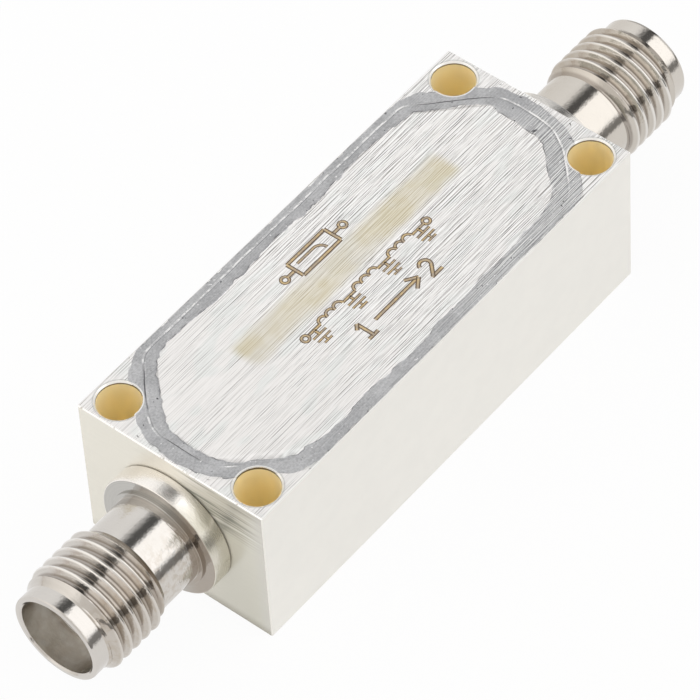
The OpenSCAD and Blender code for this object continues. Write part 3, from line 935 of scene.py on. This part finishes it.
def rough_push(ends, spot, across):
    """How far noise pushes a point across the seam: fine at the edges, slow at the joint."""
    edge = wander(spot, EDGE_SEED + math.copysign(9, across), EDGE_WAVES)
    middle = wander(spot, JOINT_SEED, JOINT_WAVES)
    return outward(ends) * (across ** 2 * edge + (1 - across ** 2) * middle)


def joint_tone(spot):
    """The joint's tone at a point, between its two nearest stations."""
    near = sorted(SEAM_STATIONS, key=lambda station: math.dist(station[:2], spot.xy))[:2]
    away = [math.dist(station[:2], spot.xy) + 1e-6 for station in near]
    tone = (near[0][4] * away[1] + near[1][4] * away[0]) / (away[0] + away[1])
    broken = 1.25 + 1.1 * noise.noise(Vector((spot.x * 1.3, spot.y * 1.3, 5.0)))
    return tone * max(0.45, min(1.0, broken))


def tone_of(spot, tone, place):
    """A point's own ragged tone, or the joint's, or a pit's."""
    # The bright rows carry the joint's painted highlight, and the dark rows its dark line, which
    # beside the highlight is painted shade
    if place in ("dark", "bright"):
        joint = joint_tone(spot)
        return max(joint, 0) if place == "bright" else -max(-joint, 0.45 * joint, 0)
    if place in ("", "outer") and any(math.dist(spot.xy, pit) < PIT_R for pit in SEAM_PITS):
        return -1.0
    return tone * max(0.1, min(1.0, 0.4 + 1.6 * noise.noise(spot * 1.7)))


print("pits:", len(SEAM_PITS))

# %% Join the rows into a seam
# A point no further outside the channel's outline than this, in mm, has no film of solder
FILM_ENDS = LAP - 0.03
# How deep the dark line of the joint is sunk, in mm
JOINT_DEPTH = 0.012
SEAM_SHARP = math.radians(50)


def seam_row(bm, across, extra, height, tone, place):
    """Roughens and settles one row and writes its tone; returns its points in order."""
    points = [here + rough_push((before, after), here, across)
              for before, here, after in neighbours(row_line(across, extra, height))]
    bare = [beyond(spot, CHANNEL_OUTER)[0] < FILM_ENDS for spot in points]
    for spot in points:
        settle(spot, place)
    if across == 1:
        meet_holes(points)
    layers = bm.verts.layers.float
    row = [bm.verts.new(spot) for spot in points]
    for v, is_bare in zip(row, bare):
        plated = place in ("tucked", "plate") or (is_bare and place in ("film", "outer"))
        v[layers["tone"]] = tone_of(v.co, tone, place)
        v[layers["plate"]] = 1.0 if plated else 0.0
        if place == "dark":
            v.co.z += JOINT_DEPTH * v[layers["tone"]]
    return row


def build_seam():
    bm = bmesh.new()
    bm.verts.layers.float.new("tone")
    bm.verts.layers.float.new("plate")
    rows = [seam_row(bm, *row) for row in SEAM_ROWS]
    for low, high in zip(rows, onward(rows)):
        for quad in zip(low, onward(low), onward(high), high):
            bm.faces.new(quad)
    make_piece(bm, "solder_bead", dressed_solder, "solder", "solder_seam", sharp=SEAM_SHARP)


build_seam()

# %% [markdown]
# The threaded ports
#
# Each port is one turned piece of stainless steel: a flange, a barrel, a 1/4-36 thread and
# a plain nose. The CAD holds the thread as a plain cylinder. A bump map could fake the
# thread, but its outline is the first thing one sees, so it is cut here as metal: a zigzag
# profile is spun one full turn while it climbs one pitch, which makes a true helix. Two
# planes trim its ends, a cone fades the first and last turns, and the open rings are then
# extruded along the rest of the profile, so that the whole port is one closed skin.

# %% Profile of a port
FLANGE_FRONT = 1.25
PITCH = 25.4 / 36
CREST_R = 3.12
ROOT_R = 2.74
THREAD_FROM = 4.0
THREAD_TO = 8.25
THREAD_CONE = 0.55
BARREL_R = 2.70
NOSE_R = 2.68
PORT_TIP = 9.15
REFERENCE_PLANE = 7.25
SOCKET_R = 2.30
# Distance out from the end face and radius, from the thread's back end round to the bore
BACK_PROFILE = [
    (1.41, BARREL_R), (1.41, 2.94), (1.39, 2.96), (FLANGE_FRONT, 2.96), (FLANGE_FRONT, 3.60),
    (1.22, 3.66), (1.17, 3.68), (0.09, 3.68), (0.03, 3.65), (0.0, 3.60), (0.0, 2.5), (-2.6, 2.5),
    (-2.6, 1.5), (0.6, 1.5), (0.6, 2.05), (REFERENCE_PLANE, 2.05), (REFERENCE_PLANE, SOCKET_R)]
# The same from the thread's front end; its first two rings keep the nose's shading straight
FRONT_PROFILE = [
    (PORT_TIP - 0.20, NOSE_R), (PORT_TIP - 0.10, NOSE_R), (PORT_TIP - 0.03, NOSE_R - 0.03),
    (PORT_TIP, NOSE_R - 0.10), (PORT_TIP, SOCKET_R + 0.10), (PORT_TIP - 0.10, SOCKET_R)]
# One tooth, along the axis and out to its radius: up to the middle of its crest, and down
TOOTH = [
    (0, ROOT_R), (0.040, ROOT_R), (0.075, ROOT_R + 0.010), (0.100, ROOT_R + 0.036),
    (0.270, CREST_R - 0.055), (0.295, CREST_R - 0.022), (0.322, CREST_R - 0.005),
    (PITCH / 2, CREST_R)]
TOOTH += [(PITCH - x, r) for x, r in reversed(TOOTH[1:-1])]


def cone_limit(distance):
    """The largest radius of the thread at a distance, with its run-out and its lead-in."""
    rise = (distance - THREAD_FROM) / THREAD_CONE
    fall = (THREAD_TO - distance) / THREAD_CONE
    return min(CREST_R, BARREL_R + (CREST_R - BARREL_R) * rise,
               NOSE_R + (CREST_R - NOSE_R) * fall)


print("turns of thread:", round((THREAD_TO - THREAD_FROM) / PITCH, 1))

# %% Cut the thread
SPIN_STEPS = 128


def ring_near(edges, distance):
    """The open ring of edges at a distance along the axis."""
    return [edge for edge in edges if abs(edge.verts[0].co.x - distance) < 1e-3]


def build_thread(bm):
    """Spins the helix, trims it and returns its two open rings."""
    turns = range(math.ceil((THREAD_TO - THREAD_FROM) / PITCH) + 3)
    spots = [(THREAD_FROM - 2 * PITCH + turn * PITCH + x, r) for turn in turns for x, r in TOOTH]
    verts = [bm.verts.new((x, 0, r)) for x, r in spots]
    edges = [bm.edges.new(pair) for pair in zip(verts, verts[1:])]
    bmesh.ops.spin(bm, geom=verts + edges, cent=(0, 0, 0), axis=(1, 0, 0), angle=math.tau,
                   steps=SPIN_STEPS, dvec=(PITCH / SPIN_STEPS, 0, 0), use_merge=False)
    bmesh.ops.remove_doubles(bm, verts=bm.verts, dist=1e-4)
    for place, way in ((THREAD_FROM, -1), (THREAD_TO, 1)):
        geom = bm.verts[:] + bm.edges[:] + bm.faces[:]
        bmesh.ops.bisect_plane(bm, geom=geom, plane_co=(place, 0, 0), plane_no=(way, 0, 0),
                               clear_outer=True)
    for v in bm.verts:
        radius = math.hypot(v.co.y, v.co.z)
        limit = cone_limit(v.co.x)
        if radius > limit:
            v.co.y *= limit / radius
            v.co.z *= limit / radius
    open_edges = [edge for edge in bm.edges if edge.is_boundary]
    return ring_near(open_edges, THREAD_FROM), ring_near(open_edges, THREAD_TO)


print("one tooth turns in", SPIN_STEPS, "steps of", len(TOOTH), "points")

# %% [markdown]
# Turned steel
#
# The lathe leaves fine rings round the axis, and mottled stains lie on the low side, where
# painted shade also darkens the steel. The thread carries painted shade in its roots and a
# painted highlight on its crests, and port 2 is painted a little warmer and darker than
# port 1. The flange's rim and face and the socket carry painted shade too, and a painted
# contact shadow lies where the flange meets the block. One grey with a lower roughness
# would do from afar, but the eye finds the flange's face, its rim and the socket by their
# own tones, so masks made from the distance along the axis and out from it name those
# places.

# %% Places on a port
def port_places(place):
    """Masks by name, each 1 at its own place on a port, with the rings of the lathe."""
    x, y, z = place.parts()
    out = abs(x) - BLOCK_HALF_L
    up = z - PORT_AXIS_Z
    radius = hypotenuse(y, up)
    along = abs(x) + radius
    threaded = (out > THREAD_FROM) * (out < THREAD_TO)
    return {
        "port_2": x > 0,
        "far_side": y.ramp(0.0, 2.4),
        "low": y.ramp(-0.6, -2.6) * (x < 0) + y.ramp(0.6, 2.6) * (x > 0),
        "down": up.ramp(1.6, -1.8),
        "rings": along.node("TexNoise", {"noise_dimensions": "1D"},
                            {"W": along, "Scale": 24.0, "Detail": 3.0}).ramp(0.3, 0.7),
        "socket": (radius < SOCKET_R + 0.02) * (out > REFERENCE_PLANE - 0.1),
        "rim": (radius > 3.5) * (out < FLANGE_FRONT - 0.02),
        "face": (radius > 2.72) * (out > FLANGE_FRONT - 0.02) * (out < FLANGE_FRONT + 0.2),
        "contact": (radius > 3.3) * (out < 0.06),
        "behind_nose": out < THREAD_TO,
        "threaded": threaded,
        "root": radius.ramp(2.90, 2.78) * (out > THREAD_FROM) * (out < THREAD_TO - 0.5),
        "crest": radius.ramp(3.02, 3.10) * threaded}


print("the flange stands out", FLANGE_FRONT, "mm")

# %% The steel's finish
STEEL = (0.66, 0.63, 0.595)
STEEL_DULL = (0.56, 0.53, 0.49)
# Port 2 painted warmer and darker than port 1: all over, on its far side and behind its nose
PORT_2_PAINTED_TINT = (0.66, 0.605, 0.53)
PORT_2_FAR_SIDE_PAINTED_SHADE = (0.50, 0.45, 0.38)
PORT_2_BEHIND_NOSE_PAINTED_SHADE = (0.58, 0.535, 0.475)
# Mottled stains with painted shade on the ports' low side, behind the nose
LOW_STAIN_AND_PAINTED_SHADE = (0.47, 0.40, 0.32)
RIM_BRIGHT = (0.94, 0.905, 0.86)
# Painted shade on the rim's low side
RIM_PAINTED_SHADE = (0.62, 0.59, 0.50)
# A painted contact shadow where the flange meets the block
CONTACT_PAINTED_SHADOW = (0.26, 0.22, 0.17)
FACE_GREY = (0.57, 0.555, 0.53)
FACE_RING = (0.47, 0.46, 0.435)
# Painted shade on the flange face's low side
FACE_PAINTED_SHADE = (0.40, 0.345, 0.29)
# Painted shade in the thread's roots
ROOT_PAINTED_SHADE = (0.31, 0.275, 0.245)
# A painted highlight on the thread's crests
CREST_PAINTED_HIGHLIGHT = (0.86, 0.84, 0.81)
# Painted shade on the thread's low side, and a little on port 2's thread
THREAD_PAINTED_SHADE = (0.42, 0.36, 0.295)
# Painted shade inside the socket
SOCKET_PAINTED_SHADE = (0.48, 0.43, 0.375)
SOCKET_LIGHT = (0.67, 0.645, 0.605)
STEEL_ROUGHNESS = 0.075
STEEL_RELIEF = 4e-6


def steel_finish():
    """Bright turned steel with rings and stains, painted shade low down, in the roots, inside
    the socket and on port 2, and painted highlights on the crests.
    """
    material, shader, place = new_finish("turned_steel", {"Metallic": 1.0})
    on = port_places(place)
    rings, low = on["rings"], on["low"]
    smudge = place.noise(0.8, 2.0, 0.5).ramp(0.35, 0.65)
    # Mottled stains on the low side, where they also stand for painted shade
    low_stain_and_painted_shade = place.noise(2.6, 3.0, 0.65).ramp(0.42, 0.62) * low * on["behind_nose"]
    # Mottle, and the socket's painted shade lifting low down
    socket_mottle_and_painted_shade = place.noise(1.1, 3.0, 0.6).ramp(0.36, 0.64) * 0.6 + on["down"] * 0.4
    waver = place.stretched(4, 2.0, 2.0).noise(1.0, 3.0, 0.7).ramp(0.3, 0.7)
    grit = place.noise(14.0, 2.0, 0.6)
    feed(shader, "Base Color", coats(
        STEEL,
        (rings * 0.22 + smudge * 0.12, STEEL_DULL),
        # Port 2's painted warmer and darker tint
        (on["port_2"] * 0.35, PORT_2_PAINTED_TINT),
        (on["port_2"] * on["far_side"] * 0.45, PORT_2_FAR_SIDE_PAINTED_SHADE),
        (on["port_2"] * on["behind_nose"] * 0.30, PORT_2_BEHIND_NOSE_PAINTED_SHADE),
        (low_stain_and_painted_shade * 0.45, LOW_STAIN_AND_PAINTED_SHADE),
        # The rim, with painted shade on its low side
        (on["rim"], (low * (smudge * 0.25 + 0.7)).mix(RIM_BRIGHT, RIM_PAINTED_SHADE)),
        # The painted contact shadow at the flange's back
        (on["contact"] * 0.7, CONTACT_PAINTED_SHADOW),
        # The flange's face, with painted shade on its low side
        (on["face"], (low * 0.85).mix(rings.mix(FACE_GREY, FACE_RING), FACE_PAINTED_SHADE)),
        # Painted shade in the thread's roots
        (on["root"] * 0.75, ROOT_PAINTED_SHADE),
        # A painted highlight on the thread's crests
        (on["crest"] * 0.8, CREST_PAINTED_HIGHLIGHT),
        # Painted shade on the thread's low side and on port 2
        (on["threaded"] * (low * 0.38 + on["port_2"] * 0.08), THREAD_PAINTED_SHADE),
        # Painted shade inside the socket, mottled and lighter low down
        (on["socket"], socket_mottle_and_painted_shade.mix(SOCKET_PAINTED_SHADE, SOCKET_LIGHT))))
    feed(shader, "Roughness", smudge * 0.03 + rings * 0.04 + on["rim"] * 0.14
         + on["socket"] * 0.20 + STEEL_ROUGHNESS)
    bump(shader, rings * 0.08 + waver + grit * 0.15, STEEL_RELIEF)
    return material


turned_steel = steel_finish()
print("steel nodes:", len(turned_steel.node_tree.nodes))

# %% Turn the ports
PORT_SHARP = math.radians(24)


def ring_at(bm, edges, distance, radius):
    """Extrudes an open ring of edges to a new distance and radius, and returns the new ring."""
    grown = bmesh.ops.extrude_edge_only(bm, edges=edges)["geom"]
    for v in (g for g in grown if isinstance(g, bmesh.types.BMVert)):
        reach = Vector((0, v.co.y, v.co.z)).normalized() * radius
        v.co = Vector((distance, reach.y, reach.z))
    return [g for g in grown if isinstance(g, bmesh.types.BMEdge)]


def build_port(name, side, node):
    bm = bmesh.new()
    back, front = build_thread(bm)
    for distance, radius in BACK_PROFILE:
        back = ring_at(bm, back, distance, radius)
    for distance, radius in FRONT_PROFILE:
        front = ring_at(bm, front, distance, radius)
    bmesh.ops.bridge_loops(bm, edges=back + front)
    bmesh.ops.translate(bm, verts=bm.verts, vec=(BLOCK_HALF_L, 0, PORT_AXIS_Z))
    if side < 0:
        half_turn = Matrix.Rotation(math.pi, 3, "Z")
        bmesh.ops.rotate(bm, verts=bm.verts, cent=(0, 0, 0), matrix=half_turn)
    make_piece(bm, name, turned_steel, "stainless", node, sharp=PORT_SHARP)


build_port("turned_port_1", -1, "port_1_shell")
build_port("turned_port_2", 1, "port_2_shell")

# %% [markdown]
# The laser marks
#
# A laser has marked the cover in tan with the signs of a circuit drawing: a low-pass
# response, a ladder of coils and capacitors, and the port numbers with an arrow between.
# A painted picture would blur close up, but signs are only bars and arcs: a bar is three
# points extruded, and an arc is three points spun. The middle row of points lets the
# finish be darker along both edges of a stroke, as a laser leaves it.

# %% Bars and arcs
MARK_Z = COVER_TOP - 0.004
MARK_HEIGHT = 0.008
# Strokes take turns at three heights, so that most that cross don't share a plane
LAYERS = 3
LAYER_STEP = 0.0012
BOLD = 0.24
FINE = 0.19
PLATE = 0.15
ARC_STEP = 12


def stroke_end(bm, middle, across, width):
    """Three points across a stroke, joined by two edges; the outer two are its rim."""
    rim = bm.verts.layers.float["rim"]
    layer = Vector((0, 0, LAYER_STEP * (len(bm.verts) // 3 % LAYERS)))
    verts = [bm.verts.new(middle + layer + across * width * k / 2) for k in (-1, 0, 1)]
    verts[0][rim] = verts[2][rim] = 1.0
    return verts, [bm.edges.new(pair) for pair in zip(verts, verts[1:])]


def bar(bm, start, end, width=BOLD):
    """A straight stroke from one place to another."""
    a = Vector((*start, MARK_Z))
    b = Vector((*end, MARK_Z))
    across = (b - a).cross(Vector((0, 0, 1))).normalized()
    edges = stroke_end(bm, a, across, width)[1]
    grown = bmesh.ops.extrude_edge_only(bm, edges=edges)["geom"]
    moved = [g for g in grown if isinstance(g, bmesh.types.BMVert)]
    bmesh.ops.translate(bm, verts=moved, vec=b - a)


def arc(bm, centre, radius, start, turn, width=BOLD):
    """An arc about a centre, from a start angle through a turn, in degrees."""
    middle = Vector((*centre, MARK_Z))
    ray = Vector((math.cos(math.radians(start)), math.sin(math.radians(start)), 0))
    verts, edges = stroke_end(bm, middle + ray * radius, ray, width)
    steps = max(4, round(abs(turn) / ARC_STEP))
    bmesh.ops.spin(bm, geom=verts + edges, cent=middle, axis=(0, 0, 1),
                   angle=math.radians(turn), steps=steps, use_merge=abs(turn) >= 360)


print("widths of a stroke in mm:", BOLD, FINE, PLATE)


# %% The signs
def response_sign(bm, middle):
    """A box with a flat passband that falls away, between two terminals."""
    x, y = middle
    half_l, half_w, lead, eye = 1.5, 0.56, 0.6, 0.22
    for sign in (-1, 1):
        end, tip = x + sign * half_l, x + sign * (half_l + lead)
        bar(bm, (x - half_l, y + sign * half_w), (x + half_l, y + sign * half_w))
        bar(bm, (end, y - half_w), (end, y + half_w))
        bar(bm, (end, y), (tip, y))
        arc(bm, (tip + sign * eye, y), eye, 0, 360, FINE)
    bar(bm, (x - 1.1, y + 0.2), (x + 0.2, y + 0.2), FINE)
    arc(bm, (x + 0.2, y - 0.3), 0.5, 90, -90, FINE)


def ladder_sign(bm, middle, pitch=2.8, coils=3):
    """Coils in a row, with a capacitor and a ground sign under every node."""
    half = pitch * coils / 2
    y = middle[1] + 0.22
    hump, eye, stub = 0.30, 0.21, 0.48
    lead = (pitch - 6 * hump) / 2
    # Heights under the row of the capacitor's two plates and of the ground's
    upper, lower, ground = y - 0.36, y - 0.66, y - 0.94
    spots = [middle[0] - half + k * pitch for k in range(coils + 1)]
    for x in spots[:-1]:
        bar(bm, (x, y), (x + lead, y), FINE)
        bar(bm, (x + pitch - lead, y), (x + pitch, y), FINE)
        for turn in range(3):
            arc(bm, (x + lead + hump * (2 * turn + 1), y), hump, 0, 180, FINE)
    for x in spots:
        bar(bm, (x, y), (x, upper), FINE)
        bar(bm, (x - 0.5, upper), (x + 0.5, upper), PLATE)
        bar(bm, (x - 0.5, lower), (x + 0.5, lower), PLATE)
        bar(bm, (x, lower), (x, ground), PLATE)
        bar(bm, (x - 0.3, ground), (x + 0.3, ground), PLATE)
    for sign in (-1, 1):
        end = middle[0] + sign * half
        bar(bm, (end, y), (end + sign * stub, y), FINE)
        arc(bm, (end + sign * (stub + eye), y), eye, 0, 360, FINE)


def port_signs(bm, middle):
    """The plain numbers 1 and 2 of the two ports, with an arrow between them."""
    x, y = middle
    one, two, tall = x - 2.6, x + 2.55, 0.56
    bar(bm, (one, y - tall), (one, y + tall))
    bar(bm, (one - 0.36, y - tall), (one + 0.36, y - tall))
    bar(bm, (one - 0.30, y + tall - 0.28), (one, y + tall))
    arc(bm, (two, y + 0.24), 0.32, 165, -210)
    bar(bm, (two + 0.226, y + 0.014), (two - 0.34, y - tall))
    bar(bm, (two - 0.42, y - tall), (two + 0.42, y - tall))
    bar(bm, (x - 1.80, y), (x + 1.60, y))
    for sign in (-1, 1):
        bar(bm, (x + 1.72, y), (x + 1.08, y + sign * 0.44))


# Each sign and the place of its middle on the cover, in mm
SIGNS = [(response_sign, (-0.1, 2.85)), (ladder_sign, (0.1, -0.65)), (port_signs, (0.1, -2.45))]
print("signs:", len(SIGNS))

# %% Raise the signs and give them their finish
LASER_TAN = (0.74, 0.56, 0.30)
LASER_GREY = (0.50, 0.42, 0.33)
LASER_RIM = (0.13, 0.085, 0.05)


def mark_finish():
    """Tan and grey inside a stroke, and dark along its rim."""
    material, shader, place = new_finish("laser_tan", {"Metallic": 0.35, "Roughness": 0.5})
    mottle = place.noise(5.0, 2.0, 0.6).ramp(0.35, 0.65)
    feed(shader, "Base Color", coats(LASER_TAN,
                                     (mottle, LASER_GREY),
                                     (painted(place, "rim").ramp(0.30, 0.70), LASER_RIM)))
    return material


def build_marks():
    bm = bmesh.new()
    bm.verts.layers.float.new("rim")
    for draw, middle in SIGNS:
        draw(bm, middle)
    bmesh.ops.remove_doubles(bm, verts=bm.verts, dist=1e-5)
    grown = bmesh.ops.extrude_face_region(bm, geom=bm.faces[:], use_keep_orig=True)["geom"]
    top = [g for g in grown if isinstance(g, bmesh.types.BMVert)]
    bmesh.ops.translate(bm, verts=top, vec=(0, 0, MARK_HEIGHT))
    make_piece(bm, "laser_marks", mark_finish(), "laser_mark")


build_marks()

# %% [markdown]
# The line inside each port
#
# Deep in each socket sits a white insulator and a gold contact. Their CAD shapes are
# right, so they only take a finish: waxy white, and soft gold with faint rings.

# %% Finish the insulators and the contacts
WAXY_WHITE = (0.90, 0.895, 0.87)
WAXY_SHADE = (0.84, 0.83, 0.80)
SOFT_GOLD = (0.88, 0.66, 0.28)
GOLD_RING = (0.78, 0.56, 0.22)
GOLD_RELIEF = 0.3e-6


def insulator_finish():
    material, shader, place = new_finish("white_insulator", {"Roughness": 0.42,
                                                             "Subsurface Weight": 0.05})
    cloud = place.noise(1.6, 2.0, 0.5).ramp(0.3, 0.7)
    feed(shader, "Base Color", cloud.mix(WAXY_WHITE, WAXY_SHADE))
    return material


def gold_finish():
    material, shader, place = new_finish("soft_gold", {"Metallic": 1.0})
    rings = place.stretched(1, 0, 0).noise(18.0, 2.0, 0.6).ramp(0.3, 0.7)
    feed(shader, "Base Color", rings.mix(SOFT_GOLD, GOLD_RING))
    feed(shader, "Roughness", rings * 0.08 + 0.2)
    bump(shader, rings, GOLD_RELIEF)
    return material


white_insulator = insulator_finish()
soft_gold = gold_finish()
for port in ("port_1", "port_2"):
    assign(port + "_insulator", white_insulator)
    assign(port + "_contact", soft_gold)

# %% [markdown]
# Inside the sealed block
#
# Nobody sees these pieces until the cover is off, but each has its own finish: woven
# laminate, gold-flashed copper, steel screws, enamelled wire, solder and ceramic chips.

# %% Weave the board
THREADS = 12.0
BOARD_GREEN = (0.09, 0.26, 0.14)
BOARD_CLOTH = (0.13, 0.33, 0.18)
BOARD_RELIEF = 4e-6


def board_finish():
    """Glass cloth under green resin: two sets of threads that cross."""
    material, shader, place = new_finish("woven_laminate", {"Roughness": 0.38})
    turns = [part * THREADS for part in place.parts()[:2]]
    warp, weft = [turn.math("SINE", turn) for turn in turns]
    cloth = (warp * weft).ramp(-1.0, 1.0)
    feed(shader, "Base Color", cloth.mix(BOARD_GREEN, BOARD_CLOTH))
    bump(shader, cloth, BOARD_RELIEF)
    return material


assign("circuit_board", board_finish())

# %% Finish the other inner pieces
# Metallic, roughness, light and dark colour, size of the grain in 1 / mm, relief in metres,
# and the CAD nodes that wear the finish
INNER_FINISHES = {
    "gold_flash": (1.0, 0.28, (0.87, 0.65, 0.31), (0.78, 0.56, 0.25), 6.0, 1e-6,
                   ["copper_lands"]),
    "screw_steel": (1.0, 0.3, (0.62, 0.61, 0.60), (0.52, 0.51, 0.50), 5.0, 1e-6,
                    ["board_screws"]),
    "enamelled_wire": (1.0, 0.22, (0.66, 0.30, 0.12), (0.54, 0.22, 0.08), 3.0, 1e-6,
                       [f"coil_{number}" for number in range(1, 5)]),
    "reflowed_solder": (1.0, 0.25, (0.68, 0.68, 0.69), (0.58, 0.58, 0.60), 4.0, 2e-6,
                        ["coil_joints", "pin_joint_1", "pin_joint_2"]),
    "chip_ceramic": (0.0, 0.6, (0.56, 0.44, 0.30), (0.48, 0.37, 0.25), 8.0, 2e-6,
                     [f"capacitor_{number}" for number in range(1, 6)])}


def grained_finish(name, metallic, roughness, light, dark, size, relief):
    """A finish that wavers between two colours, with a little relief."""
    material, shader, place = new_finish(name, {"Metallic": metallic, "Roughness": roughness})
    grain = place.noise(size, 3.0, 0.6).ramp(0.3, 0.7)
    feed(shader, "Base Color", grain.mix(light, dark))
    bump(shader, grain, relief)
    return material


for name, (*numbers, worn_by) in INNER_FINISHES.items():
    finish = grained_finish(name, *numbers)
    for node in worn_by:
        assign(node, finish)

# %% [markdown]
# The CAD model's box
#
# The visual model must stay inside the CAD model's box.
